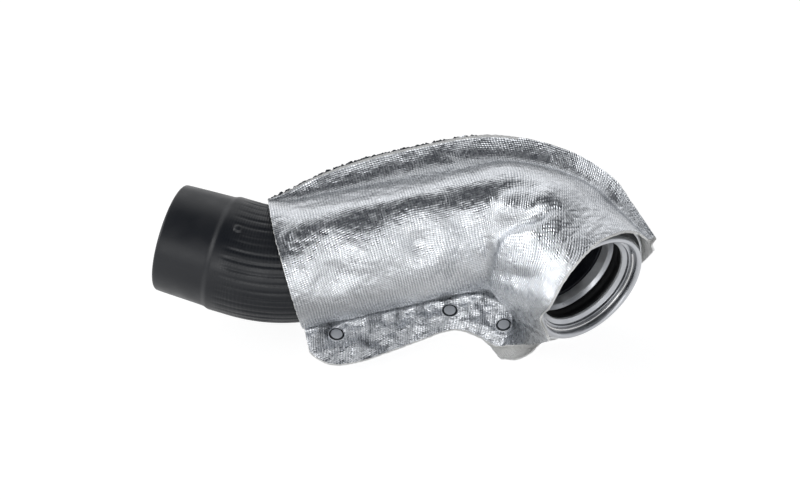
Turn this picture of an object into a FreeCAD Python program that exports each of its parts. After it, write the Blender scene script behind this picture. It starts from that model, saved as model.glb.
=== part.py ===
import FreeCAD, Part
import math
import os

Vector = FreeCAD.Vector
UP = Vector(0, 0, 1)

# Rubber hose: a moulded, bent tube with a plain cuff at one end and a flared end at the other
bore_d = 50.0
body_od = 64.0
cuff_od = 60.0
cuff_od_growth = 2.0
cuff_length = 28.6
cuff_step_length = 3.4
cuff_mouth_round = 1.6
cuff_run = 43.0
cuff_bend_radius = 62.0
cuff_bend_angle = 33.1
cuff_rise_angle = 6.5
middle_run = 89.6
elbow_radius = 42.0
elbow_angle = 74.0
flute_count = 40
flute_depth = 0.7
flute_share = 0.42
nub_d = 4.4
nub_height = 1.1
nub_angle = 75.0
nub_place = 2.7

# Quick coupling: a turned socket with a rolled lip, held in the flared hose end
coupling_run = 35.4
barrel_od = 64.0
throat_wall = 5.5
lip_overhang = 2.5
lip_width = 4.6
lip_setback = 5.6
mouth_wall = 1.2
mouth_depth = 2.3
lip_edge = 0.6
lip_facets = 10
wire_d = 1.6
wire_depth = 4.4
wire_gap_angle = 24.0
step_wall = 3.2
ridge_depth = 8.2
ridge_width = 1.4
seal_groove_wall = 2.2
seal_width = 8.4
seal_relief = 0.7
seal_side_clearance = 0.2
throat_cone_depth = 20.6
barrel_length = 26.0
flare_wall = 5.0
flare_taper = 8.0
hose_end_gap = 0.4
crimp_wall = 1.5
crimp_width = 15.0
crimp_setback = 0.4
crimp_bead = 0.9

# Heat shield: two panels of foil-faced glass cloth, joined along the top and riveted below
cloth_thickness = 1.2
layer_gap = 0.1
wrap_clearance = 0.3
shield_cover = 103.3
crimp_place = 2.15
left_edge_side_lean = 0.10
left_edge_up_lean = 0.19
left_edge_fade = 0.5
mouth_lap = 3.6
visor_reach = 9.0
visor_start = 2.5
seam_lip = 14.0
seam_lip_least = 0.6
rear_setback = 13.0
rivet_head_d = 9.3
rivet_head_height = 0.9
rivet_rim_height = 0.3
rivet_dome_d = 6.5
rivet_dome_height = 0.76
rivet_shank_d = 4.0
rivet_hole_clearance = 0.1
rivet_press = 0.45
rivet_tail_d = 6.4
rivet_tail_height = 0.7
washer_d = 9.0
washer_thickness = 0.6

# Along the shield, 0 is its open left end, 1 the start of the elbow, 2 the elbow's end and 3 the mouth.
# Each list gives a value at a few places, and the shield runs evenly between them.
# Reaches are measured outwards from the wrapped cloth, and lifts upwards from the lowest cloth.
# The cloth stands off the hose's crown by the tent's lift, shared out by the angle round the hose.
seam_reach = [(0, 2.0), (0.15, 8.0), (0.35, 14.0), (0.6, 17.0), (1, 17.0), (1.6, 14.0), (2.2, 10.0), (3, 4.6)]
seam_angle = [(0, 135.0), (1.2, 135.0), (2.2, 146.0), (3, 150.0)]
wrap_slack = [(0, 0.7), (0.35, 0.5), (0.5, 0.0), (0.85, 0.0), (1.1, 0.6), (1.6, 1.0), (2, 2.0), (2.2, 0.3),
              (3, 0.0)]
front_wrap_end = [(0, -45.0), (1, -45.0), (1.4, -28.0), (2, -25.0), (2.3, -15.0), (2.6, 0.0), (3, 24.0)]
crease_reach = [(0, -15.0), (0.15, -15.0), (0.5, -17.5), (0.85, -18.0), (1.2, -16.5), (1.75, -15.5), (2, -13.5),
                (2.3, -7.4), (2.6, -1.2), (3, 0.0)]
crease_lift = [(0, 8.0), (0.15, 6.8), (0.5, 5.4), (0.85, 5.0), (1.2, 5.2), (1.75, 6.4), (2, 7.4), (2.3, 13.4),
               (2.6, 29.4), (3, 48.4)]
tent_lift = [(0, 0.0), (0.3, 5.0), (0.6, 9.0), (1.3, 9.0), (2, 6.0), (2.6, 1.0), (3, 0.0)]
tent_shape = [(0, 0.0), (28, 0.05), (45, 0.3), (62, 0.75), (78, 1.0), (90, 0.7), (102, 0.2), (115, 0.0)]
edge_reach = [(0, 3.0), (0.05, 11.5), (0.14, 14.5), (0.3, 13.6), (0.55, 10.1), (0.72, 5.6), (0.83, 4.1),
              (1, 13.1), (1.25, 18.3), (1.5, 18.7), (1.75, 11.2), (2, 0.8), (2.3, -2.4), (2.6, -3.4), (3, -0.9)]
edge_lift = [(0, 6.4), (0.14, 3.4), (0.5, 2.4), (1.5, 2.4), (2, 3.9), (2.3, 9.4), (2.6, 21.4), (3, 36.4)]
edge_shift = [(0, 0.0), (0.83, 0.0), (1, -8.6), (1.25, -1.6), (1.5, 8.0), (1.75, 15.9), (2, 19.0), (2.3, 15.5),
              (2.6, 15.0), (3, 12.0)]
flap_reach = [(0, -0.8), (1.25, -0.8), (1.5, 1.0), (1.75, 6.0), (2, 3.4), (2.25, -2.9), (2.5, -11.5),
              (3, -18.5)]
flap_shift = [(0, 0.0), (1.5, 0.0), (1.75, 2.0), (2, 6.4), (2.25, -1.1), (2.5, -11.9), (3, -35.2)]
belly_lift = [(0, 4.8), (0.25, 0.0), (3, 0.0)]
rivet_places = [(0.17, 0.42), (0.84, 0.60), (1.62, 0.70)]

elbow_steps = 8
run_stations = [0, 0.05, 0.14, 0.3, 0.48, 0.66, 0.83]
elbow_stations = [1 + i / elbow_steps for i in range(elbow_steps + 1)]
stations = run_stations + elbow_stations + [2.2, 2.4, 2.6, 2.8, 3]
wrap_points = 10
flange_points = 4
tuck_points = 4
back_wrap_end = 244.0
belly_half_width = 9.0
belly_rise_share = 0.4
flap_start = 1.2
flap_laid = 1.6
rear_end_out = 14.0

body_r = body_od / 2
bore_r = bore_d / 2
barrel_r = barrel_od / 2
lip_r = barrel_r + lip_overhang
mouth_r = barrel_r - mouth_wall
step_r = barrel_r - step_wall
throat_r = barrel_r - throat_wall
seal_groove_r = barrel_r - seal_groove_wall
seal_bore_r = throat_r + seal_relief
flare_r = barrel_r + flare_wall
crimp_r = flare_r + crimp_wall
half_gap = (cloth_thickness + layer_gap) / 2
flange_shares = [k / (flange_points - 1) for k in range(flange_points)]
lowest_cloth = -(crimp_r + wrap_clearance + cloth_thickness / 2)
elbow_turn = math.radians(elbow_angle)

# The middle run lies along +X and ends at the origin, where the elbow starts to turn towards -Y.
elbow_centre = Vector(0, -elbow_radius, 0)
elbow_end = elbow_centre + Vector(math.sin(elbow_turn), math.cos(elbow_turn), 0) * elbow_radius
coupling_dir = Vector(math.cos(elbow_turn), -math.sin(elbow_turn), 0)
lip_centre = elbow_end + coupling_dir * coupling_run
cuff_bend_end = Vector(-middle_run, 0, 0)


def cuff_direction():
    """The unit vector from the cuff's bend to its mouth."""
    rise = math.radians(cuff_rise_angle)
    turn = math.radians(cuff_bend_angle)
    return Vector(-math.cos(turn) * math.cos(rise), math.sin(turn) * math.cos(rise), math.sin(rise))


cuff_dir = cuff_direction()
cuff_turn = cuff_dir.getAngle(Vector(-1, 0, 0))
cuff_side = (cuff_dir - Vector(-1, 0, 0) * cuff_dir.dot(Vector(-1, 0, 0))).normalize()
cuff_bend_centre = cuff_bend_end + cuff_side * cuff_bend_radius
cuff_bend_axis = Vector(-1, 0, 0).cross(cuff_side).normalize()
cuff_bend_start = (
    cuff_bend_centre
    - cuff_side * (cuff_bend_radius * math.cos(cuff_turn))
    + Vector(-1, 0, 0) * (cuff_bend_radius * math.sin(cuff_turn))
)


def placed(shape, origin, axis):
    """The shape moved from the origin and +Z to a point and a direction."""
    moved = shape.copy()
    moved.Placement = FreeCAD.Placement(origin, FreeCAD.Rotation(UP, axis)).multiply(moved.Placement)
    return moved


def turned(profile, origin, axis):
    """A solid of revolution from (radius, distance along the axis) corners."""
    corners = [Vector(r, 0, z) for r, z in profile]
    face = Part.Face(Part.makePolygon(corners + corners[:1]))
    return placed(face.revolve(Vector(0, 0, 0), UP, 360), origin, axis)


def at(keys, q):
    """The value of a list of (place, value) pairs at one place along the shield."""
    for (q0, v0), (q1, v1) in zip(keys, keys[1:]):
        if q <= q1:
            return v0 + (v1 - v0) * max(q - q0, 0) / (q1 - q0)
    return keys[-1][1]


# Rubber hose

def fluted_face():
    """The hose's section with shallow flutes around it, in the XY plane."""
    pitch = 2 * math.pi / flute_count
    half = pitch * flute_share / 2

    def point(radius, angle):
        return Vector(radius * math.cos(angle), radius * math.sin(angle), 0)

    edges = []
    for i in range(flute_count):
        a = i * pitch
        crest = (point(body_r, a - pitch + half), point(body_r, a - pitch / 2), point(body_r, a - half))
        groove = (crest[2], point(body_r - flute_depth, a), point(body_r, a + half))
        edges.append(Part.Arc(*crest).toShape())
        edges.append(Part.Arc(*groove).toShape())
    return Part.Face(Part.Wire(edges)).cut(disc(bore_r)).Faces[0]


def disc(radius):
    return Part.Face(Part.Wire([Part.makeCircle(radius)]))


def plain_face():
    return disc(body_r).cut(disc(bore_r)).Faces[0]


def cuff():
    """The straight cuff, with its mouth at distance 0 and its step up to the body."""
    cuff_r = cuff_od / 2
    grown_r = cuff_r + cuff_od_growth / 2
    profile = [
        (bore_r, 0.0),
        (cuff_r, 0.0),
        (grown_r, cuff_length),
        (body_r, cuff_length + cuff_step_length),
        (body_r, cuff_run),
        (bore_r, cuff_run),
    ]
    mouth = cuff_bend_start + cuff_dir * cuff_run
    solid = turned(profile, Vector(0, 0, 0), UP)
    rims = [e for e in solid.Edges if abs(e.CenterOfMass.z) < 1e-6]
    solid = solid.makeFillet(cuff_mouth_round, rims)
    return placed(solid, mouth, -cuff_dir)


def flare():
    """The hose end that grips the coupling's barrel, running back from its end face to the elbow."""
    end = lip_setback
    pocket = barrel_length + hose_end_gap
    taper_start = coupling_run - flare_taper
    profile = [
        (barrel_r, end),
        (flare_r, end),
        (flare_r, taper_start),
        (body_r, coupling_run),
        (bore_r, coupling_run),
        (bore_r, pocket),
        (barrel_r, pocket),
    ]
    return turned(profile, lip_centre, -coupling_dir)


def alignment_nub():
    """A small round mark moulded on the body just behind the step."""
    turn = math.radians(nub_angle)
    side = UP.cross(cuff_dir).normalize()
    crown = cuff_dir.cross(side).normalize()
    out = (crown * math.sin(turn) + side * math.cos(turn)).normalize()
    spot = cuff_bend_start + cuff_dir * nub_place
    depth = (body_od - bore_d) / 4
    return Part.makeCylinder(nub_d / 2, depth + nub_height, spot + out * (body_r - depth), out)


def rubber_hose():
    bend = placed(fluted_face(), cuff_bend_end, Vector(-1, 0, 0))
    bend = bend.revolve(cuff_bend_centre, cuff_bend_axis, math.degrees(cuff_turn))
    middle = placed(plain_face(), cuff_bend_end, Vector(1, 0, 0)).extrude(Vector(middle_run, 0, 0))
    elbow = placed(plain_face(), Vector(0, 0, 0), Vector(1, 0, 0))
    elbow = elbow.revolve(elbow_centre, -UP, elbow_angle)
    return cuff().fuse([bend, middle, elbow, flare(), alignment_nub()]).removeSplitter()


# Quick coupling

def coupling_socket():
    """The metal socket, from its lip at distance 0 back into the hose."""
    groove_r = mouth_r + wire_d / 2
    groove_start = wire_depth - wire_d / 2
    groove_end = wire_depth + wire_d / 2
    roll_r = (lip_r - mouth_r) / 2
    turns = [math.pi * i / lip_facets for i in range(lip_facets + 1)]
    roll = [(mouth_r + roll_r * (1 - math.cos(a)), mouth_depth * (1 - math.sin(a))) for a in turns]
    seal_start = ridge_depth + ridge_width
    seal_end = seal_start + seal_width + 2 * seal_side_clearance
    shoulder_r = (seal_groove_r + throat_r) / 2
    profile = roll + [
        (lip_r, lip_width - lip_edge),
        (lip_r - lip_edge, lip_width),
        (barrel_r, lip_width),
        (barrel_r, barrel_length),
        (throat_r, barrel_length),
        (throat_r, throat_cone_depth),
        (shoulder_r, seal_end),
        (seal_groove_r, seal_end),
        (seal_groove_r, seal_start),
        (throat_r, seal_start),
        (throat_r, ridge_depth),
        (step_r, ridge_depth - ridge_width),
        (step_r, groove_end),
        (groove_r, groove_end),
        (groove_r, groove_start),
        (mouth_r, groove_start),
    ]
    return turned(profile, lip_centre, -coupling_dir)


def seal_ring():
    """The black rubber seal in the socket's inner groove, with a raised sealing bead each side."""
    start = ridge_depth + ridge_width + seal_side_clearance
    bead = seal_width / 4
    profile = [
        (seal_groove_r, start),
        (seal_groove_r, start + seal_width),
        (seal_bore_r + bead / 3, start + seal_width),
        (seal_bore_r, start + seal_width - bead / 2),
        (seal_bore_r, start + seal_width - bead),
        (seal_bore_r + bead / 4, start + seal_width / 2),
        (seal_bore_r, start + bead),
        (seal_bore_r, start + bead / 2),
        (seal_bore_r + bead / 3, start),
    ]
    return turned(profile, lip_centre, -coupling_dir)


def retaining_wire():
    """The open spring-wire ring that snaps behind the mating pipe's bead."""
    turn = 360 - wire_gap_angle
    circle = Part.makeCircle(wire_d / 2, Vector(mouth_r, 0, wire_depth), Vector(0, 1, 0))
    ring = Part.Face(Part.Wire([circle])).revolve(Vector(0, 0, 0), UP, turn)
    return placed(ring, lip_centre, -coupling_dir)


def crimp_ring():
    """The metal band pressed round the flared hose end, beaded at both edges."""
    start = lip_setback + crimp_setback
    end = start + crimp_width
    profile = [
        (flare_r, start),
        (crimp_r, start),
        (crimp_r, start + 2 * crimp_bead),
        (crimp_r - crimp_bead / 2, start + 3 * crimp_bead),
        (crimp_r - crimp_bead / 2, end - 3 * crimp_bead),
        (crimp_r, end - 2 * crimp_bead),
        (crimp_r, end),
        (flare_r, end),
    ]
    return turned(profile, lip_centre, -coupling_dir)


# Heat shield

def hose_offset(x):
    """How far the hose's centre leaves the middle run's line over the cuff's bend."""
    reach = max(-x - middle_run, 0)
    return cuff_bend_radius - math.sqrt(cuff_bend_radius**2 - reach**2)


def frame(q):
    """The point, side direction towards the elbow's inside and forward direction at one place."""
    if q <= 1:
        x = shield_cover * (q - 1)
        return Vector(x, 0, 0) + cuff_side * hose_offset(x), Vector(0, -1, 0), Vector(1, 0, 0)
    if q <= 2:
        turn = (q - 1) * elbow_turn
        out = Vector(math.sin(turn), math.cos(turn), 0)
        return elbow_centre + out * elbow_radius, -out, Vector(math.cos(turn), -math.sin(turn), 0)
    side = Vector(-math.sin(elbow_turn), -math.cos(elbow_turn), 0)
    return elbow_end + coupling_dir * ((q - 2) * (coupling_run + mouth_lap)), side, coupling_dir


def wrap_radius(q):
    """The radius of the cloth's middle where it wraps the hose or the crimp ring."""
    held_r = body_r
    if q > 1:
        held_r = body_r + (crimp_r - body_r) * min((q - 1) / (crimp_place - 1), 1)
    x = shield_cover * (q - 1)
    reach = max(-x - middle_run, 0)
    lean = math.cos(math.asin(reach / cuff_bend_radius))
    return held_r / lean + wrap_clearance + cloth_thickness / 2 + at(wrap_slack, q)


def polar(radius, degrees):
    a = math.radians(degrees)
    return (radius * math.cos(a), radius * math.sin(a))


def seam_points(q, side):
    """The seam lip's tip and root, on the front (side 1) or the rear (side -1) of the lip."""
    reach = wrap_radius(q) + at(seam_reach, q)
    angle = at(seam_angle, q)
    root = max(reach - seam_lip, wrap_radius(q) + seam_lip_least)
    shift = polar(half_gap * side, angle - 90)
    ends = [polar(reach, angle), polar(root, angle)]
    return [(u + shift[0], w + shift[1]) for u, w in ends], root


def wrap(q, root, side, end):
    """Points round the hose, from where the cloth leaves the seam to an end angle."""
    radius = wrap_radius(q)
    start = at(seam_angle, q) - side * math.degrees(math.acos(min(radius / root, 1)))
    step = (end - start) / (wrap_points - 1)
    fitted = radius * 3 / (2 + math.cos(math.radians(step)))
    return [polar(fitted, start + step * i) for i in range(wrap_points)]


def tented(q, u, w):
    """A point of the wrap, lifted where the cloth stands off the hose's crown."""
    radius = math.hypot(u, w)
    degrees = math.degrees(math.atan2(w, u))
    return polar(radius + at(tent_lift, q) * at(tent_shape, degrees), degrees)


def flange(q, side):
    """Points from the crease to the cloth's lower edge, on the front or the rear of the flange."""
    held_r = wrap_radius(q)
    u0, w0 = held_r + at(crease_reach, q), lowest_cloth + at(crease_lift, q)
    u1, w1 = held_r + at(edge_reach, q), lowest_cloth + at(edge_lift, q)
    length = math.hypot(u1 - u0, w1 - w0)
    nu, nw = (w0 - w1) / length * half_gap * side, (u1 - u0) / length * half_gap * side
    return [(u0 + (u1 - u0) * t + nu, w0 + (w1 - w0) * t + nw) for t in flange_shares]


def front_section(q):
    """Section points from the seam over the crown and front to the flange, each with its shift along."""
    seam, root = seam_points(q, 1)
    around = [tented(q, u, w) for u, w in wrap(q, root, 1, at(front_wrap_end, q))]
    flat = flange(q, 1)
    fade = max(q - visor_start, 0) / (3 - visor_start)
    points = [(u, w, visor_reach * fade * max(u, 0) / wrap_radius(q)) for u, w in seam + around]
    points += [(u, w, at(edge_shift, q) * (k + 1) / flange_points) for k, (u, w) in enumerate(flat)]
    return points


def rear_flange(q, low):
    """Points from the rear panel's crease to its lower edge, which ends in a flap laid on the floor."""
    flat = flange(min(q, 2), -1)
    shift = at(edge_shift, min(q, 2))
    points = [(u, w, shift * (k + 1) / flange_points) for k, (u, w) in enumerate(flat)]
    laid = min(max(q - flap_start, 0) / (flap_laid - flap_start), 1)
    u, w, along = points[-1]
    edge = (u + at(flap_reach, q), w + (low - w) * laid, along + at(flap_shift, q))
    if q <= 2:
        return points[:-1] + [edge]
    tuck = q - 2
    u, w, along = points[0]
    start = (u + (rear_end_out - u) * tuck, w + (low - w) * tuck, along - (along + rear_setback) * tuck)
    return [tuple(a + (b - a) * t for a, b in zip(start, edge)) for t in flange_shares]


def rear_section(q):
    """Section points from the seam round the back and under the hose to the flange."""
    seam, root = seam_points(q, -1)
    around = wrap(q, root, -1, back_wrap_end)
    low = lowest_cloth + at(belly_lift, q)
    flat = rear_flange(q, low)
    belly = [(-belly_half_width, low), (belly_half_width, low)]
    lift = (belly[1][0] / 2 + flat[0][0] / 2, low + (flat[0][1] - low) * belly_rise_share)
    back = rear_setback * max(q - 2, 0)
    points = [(u, w, 0.0) for u, w in seam]
    points += [(u, w, -back * min(i / tuck_points, 1)) for i, (u, w) in enumerate(around)]
    points += [(u, w, -back) for u, w in belly + [lift]]
    return points + flat


def net(section, side):
    """Two layers of control points, half the cloth's thickness each side of the section points."""
    outer, inner = [], []
    for q in stations:
        origin, across, forward = frame(q)
        points = section(q)
        fade = max(1 - q / left_edge_fade, 0)
        rows = ([], [])
        for i, (u, w, shift) in enumerate(points):
            before = points[max(i - 1, 0)]
            after = points[min(i + 1, len(points) - 1)]
            du, dw = after[0] - before[0], after[1] - before[1]
            length = math.hypot(du, dw)
            nu, nw = -dw / length * side, du / length * side
            for row, sign in zip(rows, (1, -1)):
                off = sign * cloth_thickness / 2
                lean = -fade * (left_edge_side_lean * u + left_edge_up_lean * w)
                along = forward * (shift + lean)
                row.append(origin + across * (u + nu * off) + UP * (w + nw * off) + along)
        outer.append(rows[0])
        inner.append(rows[1])
    return outer, inner


def knots(count, degree):
    spans = count - degree
    return [degree + 1] + [1] * (spans - 1) + [degree + 1], [i / spans for i in range(spans + 1)]


def smooth_surface(poles, row_degree=3):
    """A smooth surface pulled towards rows of control points."""
    surface = Part.BSplineSurface()
    row_mults, row_knots = knots(len(poles), row_degree)
    mults, values = knots(len(poles[0]), 3)
    surface.buildFromPolesMultsKnots(poles, row_mults, mults, row_knots, values, False, False, row_degree, 3)
    return surface


def cloth_panel(section, side):
    """A closed panel of cloth, and its middle surface for whatever is set on it."""
    outer, inner = net(section, side)
    rims = [
        (outer[0], inner[0]),
        (outer[-1], inner[-1]),
        ([row[0] for row in outer], [row[0] for row in inner]),
        ([row[-1] for row in outer], [row[-1] for row in inner]),
    ]
    faces = [smooth_surface(outer).toShape(), smooth_surface(inner).toShape()]
    faces += [smooth_surface([top, bottom], 1).toShape() for top, bottom in rims]
    skin = Part.Compound(faces)
    skin.sewShape()
    solid = Part.Solid(skin.Shells[0])
    if solid.Volume < 0:
        solid.reverse()
    return solid, smooth_surface(outer)


def pole_places(count):
    """Where along a smooth surface each of its rows of control points pulls most."""
    multiplicities, values = knots(count, 3)
    spread = [v for v, m in zip(values, multiplicities) for _ in range(m)]
    return [sum(spread[i + 1:i + 4]) / 3 for i in range(count)]


def rivet_axes(surface):
    """Where each rivet's head is pressed into the flange, and the direction out of it."""
    along = list(zip(stations, pole_places(len(stations))))
    across = pole_places(len(front_section(0)))[-flange_points:]
    axes = []
    for q, share in rivet_places:
        spot = (at(along, q), across[0] + (across[-1] - across[0]) * share)
        out = surface.normal(*spot)
        out = out if out.z > 0 else -out
        axes.append((surface.value(*spot) - out * rivet_press, out))
    return axes


def pressed_grip():
    """The two panels' thickness between a rivet's head and its washer."""
    return 2 * cloth_thickness + layer_gap - 2 * rivet_press


def rivet(spot, out):
    """One rivet: a low domed head, a shank through both panels and the washer, and a spread tail."""
    grip = pressed_grip() + washer_thickness
    shank_r = rivet_shank_d / 2
    head_r = rivet_head_d / 2
    profile = [
        (0.0, rivet_head_height),
        (rivet_dome_d / 2, rivet_dome_height),
        (head_r, rivet_rim_height),
        (head_r, 0.0),
        (shank_r, 0.0),
        (shank_r, -grip),
        (rivet_tail_d / 2, -grip),
        (rivet_tail_d / 2 - rivet_tail_height / 2, -grip - rivet_tail_height),
        (0.0, -grip - rivet_tail_height),
    ]
    return turned(profile, spot, out)


def washer(spot, out):
    """The flat washer under the flange that the rivet's tail is spread over."""
    top = -pressed_grip()
    inner_r = rivet_shank_d / 2 + rivet_hole_clearance
    profile = [
        (inner_r, top),
        (washer_d / 2, top),
        (washer_d / 2, top - washer_thickness),
        (inner_r, top - washer_thickness),
    ]
    return turned(profile, spot, out)


def main():
    front, front_surface = cloth_panel(front_section, 1)
    rear = cloth_panel(rear_section, -1)[0]
    axes = rivet_axes(front_surface)
    rivets = [rivet(p, n) for p, n in axes]
    washers = [washer(p, n) for p, n in axes]
    hole_r = rivet_shank_d / 2 + rivet_hole_clearance
    reach = 4 * cloth_thickness
    holes = [Part.makeCylinder(hole_r, 2 * reach, p - n * reach, n) for p, n in axes]
    head_seats = [Part.makeCylinder(rivet_head_d / 2, reach, p, n) for p, n in axes]
    washer_seats = [Part.makeCylinder(washer_d / 2, reach, p - n * pressed_grip(), n * -1) for p, n in axes]
    nodes = {
        "rubber_hose": rubber_hose(),
        "coupling_socket": coupling_socket(),
        "seal_ring": seal_ring(),
        "retaining_wire": retaining_wire(),
        "crimp_ring": crimp_ring(),
        "front_shield_panel": front.cut(holes).cut(head_seats),
        "rear_shield_panel": rear.cut(holes).cut(washer_seats),
        "shield_rivets": Part.Compound(rivets),
        "rivet_washers": Part.Compound(washers),
    }
    box = Part.Compound(list(nodes.values())).optimalBoundingBox(False)
    base = Vector(-(box.XMin + box.XMax) / 2, -(box.YMin + box.YMax) / 2, -box.ZMin)
    os.makedirs("parts", exist_ok=True)
    for name, shape in nodes.items():
        moved = shape.translated(base)
        moved.exportStep("parts/%s.step" % name)
        print(name, len(moved.Solids), moved.isValid(), round(moved.Volume), "mm3")
    print("lip centre", lip_centre + base)
    print("cuff mouth", cuff_bend_start + cuff_dir * cuff_run + base)
    print("moved by", base, "size", box.XLength, box.YLength, box.ZLength)


main()
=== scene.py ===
import math

import bpy
import numpy as np
from bpy.props import FloatProperty, FloatVectorProperty, IntProperty, PointerProperty
from mathutils import Matrix, Vector, noise


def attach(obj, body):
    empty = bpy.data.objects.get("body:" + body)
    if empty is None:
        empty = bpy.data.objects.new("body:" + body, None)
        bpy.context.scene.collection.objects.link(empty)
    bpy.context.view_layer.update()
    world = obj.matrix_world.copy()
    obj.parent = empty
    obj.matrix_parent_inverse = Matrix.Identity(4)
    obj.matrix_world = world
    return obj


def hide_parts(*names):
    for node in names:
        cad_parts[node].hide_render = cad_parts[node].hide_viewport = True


bl_info = {
    "name": "Turbo hose",
    "version": (1, 0, 0),
    "blender": (4, 5, 0),
    "location": "3D View > Sidebar > Turbo hose",
    "description": "Dresses the turbo hose with its rubber, metal coupling and foil-cloth heat shield",
    "category": "Add Mesh",
}

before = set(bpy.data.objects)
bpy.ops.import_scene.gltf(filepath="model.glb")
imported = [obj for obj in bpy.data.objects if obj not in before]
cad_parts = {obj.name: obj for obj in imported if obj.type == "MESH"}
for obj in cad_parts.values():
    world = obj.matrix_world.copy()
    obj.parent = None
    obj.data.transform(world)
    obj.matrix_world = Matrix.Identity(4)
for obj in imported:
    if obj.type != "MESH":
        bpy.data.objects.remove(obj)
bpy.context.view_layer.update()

MM = 0.001


def linear(code):
    """A linear colour from an sRGB hex code."""
    parts = [int(code[i:i + 2], 16) / 255 for i in (1, 3, 5)]
    return tuple(v / 12.92 if v <= 0.04045 else ((v + 0.055) / 1.055) ** 2.4 for v in parts)


# Sizes in millimetres, as the solids have them. The middle run lies along X and ends where the elbow starts.
BASE = np.array((43.7214, 16.1308, 40.0))
BORE_R, BODY_R, CUFF_R, CUFF_GROWTH = 25.0, 32.0, 30.0, 1.0
CUFF_LENGTH, CUFF_STEP, CUFF_ROUND, CUFF_RUN = 28.6, 3.4, 1.6, 43.0
CUFF_BEND_R, CUFF_BEND, CUFF_RISE = 62.0, math.radians(33.1), math.radians(6.5)
MIDDLE_RUN, ELBOW_R, ELBOW_TURN = 89.6, 42.0, math.radians(74.0)
FLUTES, FLUTE_DEPTH, FLUTE_SHARE = 40, 0.7, 0.42
NUB_D, NUB_HEIGHT, NUB_ANGLE, NUB_PLACE = 4.4, 1.1, math.radians(75.0), 2.7
COUPLING_RUN, BARREL_R, BARREL_LENGTH = 35.4, 32.0, 26.0
LIP_R, LIP_WIDTH, LIP_SETBACK, LIP_EDGE = 34.5, 4.6, 5.6, 0.6
MOUTH_R, MOUTH_DEPTH, STEP_R, THROAT_R = 30.8, 2.3, 28.8, 26.5
WIRE_R, WIRE_DEPTH = 0.8, 4.4
RIDGE_DEPTH, RIDGE_WIDTH = 8.2, 1.4
SEAL_GROOVE_R, SEAL_BORE_R, SEAL_WIDTH, SEAL_SIDE = 29.8, 27.2, 8.4, 0.2
CONE_DEPTH, FLARE_R, FLARE_TAPER, HOSE_END_GAP = 20.6, 37.0, 8.0, 0.4
CRIMP_R, CRIMP_WIDTH, CRIMP_START, CRIMP_BEAD = 38.5, 15.0, 6.0, 0.9
CLOTH, LAYER_GAP, WRAP_CLEARANCE, SHIELD_COVER = 1.2, 0.1, 0.3, 103.3
SIDE_LEAN, UP_LEAN, LEAN_FADE, CRIMP_PLACE = 0.10, 0.19, 0.5, 2.15
MOUTH_LAP, VISOR_REACH, VISOR_START, SEAM_LIP, SEAM_LIP_LEAST, REAR_SETBACK = 3.6, 9.0, 2.5, 14.0, 0.6, 13.0
HEAD_D, HEAD_HEIGHT, RIM_HEIGHT, DOME_D, DOME_HEIGHT = 9.3, 0.9, 0.3, 6.5, 0.76
SHANK_D, HOLE_CLEARANCE, PRESS, TAIL_D, TAIL_HEIGHT = 4.0, 0.1, 0.45, 6.4, 0.7
WASHER_D, WASHER = 9.0, 0.6
EDGE_CURL = 0.8
WRAP_POINTS, FLANGE_POINTS, TUCK_POINTS, ELBOW_STEPS = 10, 4, 4, 8
BACK_WRAP_END, BELLY_HALF, BELLY_RISE = 244.0, 9.0, 0.4
FLAP_START, FLAP_LAID, REAR_END_OUT = 1.2, 1.6, 14.0

# Along the shield, 0 is its open left end, 1 the start of the elbow, 2 the elbow's end and 3 the mouth.
SEAM_REACH = [(0, 2.0), (0.15, 8.0), (0.35, 14.0), (0.6, 17.0), (1, 17.0), (1.6, 14.0), (2.2, 10.0), (3, 4.6)]
SEAM_ANGLE = [(0, 135.0), (1.2, 135.0), (2.2, 146.0), (3, 150.0)]
WRAP_SLACK = [(0, 0.7), (0.35, 0.5), (0.5, 0.0), (0.85, 0.0), (1.1, 0.6), (1.6, 1.0), (2, 2.0), (2.2, 0.3),
              (3, 0.0)]
FRONT_WRAP_END = [(0, -45.0), (1, -45.0), (1.4, -28.0), (2, -25.0), (2.3, -15.0), (2.6, 0.0), (3, 24.0)]
CREASE_REACH = [(0, -15.0), (0.15, -15.0), (0.5, -17.5), (0.85, -18.0), (1.2, -16.5), (1.75, -15.5),
                (2, -13.5), (2.3, -7.4), (2.6, -1.2), (3, 0.0)]
CREASE_LIFT = [(0, 8.0), (0.15, 6.8), (0.5, 5.4), (0.85, 5.0), (1.2, 5.2), (1.75, 6.4), (2, 7.4), (2.3, 13.4),
               (2.6, 29.4), (3, 48.4)]
EDGE_REACH = [(0, 3.0), (0.05, 11.5), (0.14, 14.5), (0.3, 13.6), (0.55, 10.1), (0.72, 5.6), (0.83, 4.1),
              (1, 13.1), (1.25, 18.3), (1.5, 18.7), (1.75, 11.2), (2, 0.8), (2.3, -2.4), (2.6, -3.4),
              (3, -0.9)]
EDGE_LIFT = [(0, 6.4), (0.14, 3.4), (0.5, 2.4), (1.5, 2.4), (2, 3.9), (2.3, 9.4), (2.6, 21.4), (3, 36.4)]
EDGE_SHIFT = [(0, 0.0), (0.83, 0.0), (1, -8.6), (1.25, -1.6), (1.5, 8.0), (1.75, 15.9), (2, 19.0),
              (2.3, 15.5), (2.6, 15.0), (3, 12.0)]
FLAP_REACH = [(0, -0.8), (1.25, -0.8), (1.5, 1.0), (1.75, 6.0), (2, 3.4), (2.25, -2.9), (2.5, -11.5),
              (3, -18.5)]
FLAP_SHIFT = [(0, 0.0), (1.5, 0.0), (1.75, 2.0), (2, 6.4), (2.25, -1.1), (2.5, -11.9), (3, -35.2)]
BELLY_LIFT = [(0, 4.8), (0.25, 0.0), (3, 0.0)]
TENT_LIFT = [(0, 0.0), (0.3, 5.0), (0.6, 9.0), (1.3, 9.0), (2, 6.0), (2.6, 1.0), (3, 0.0)]
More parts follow.
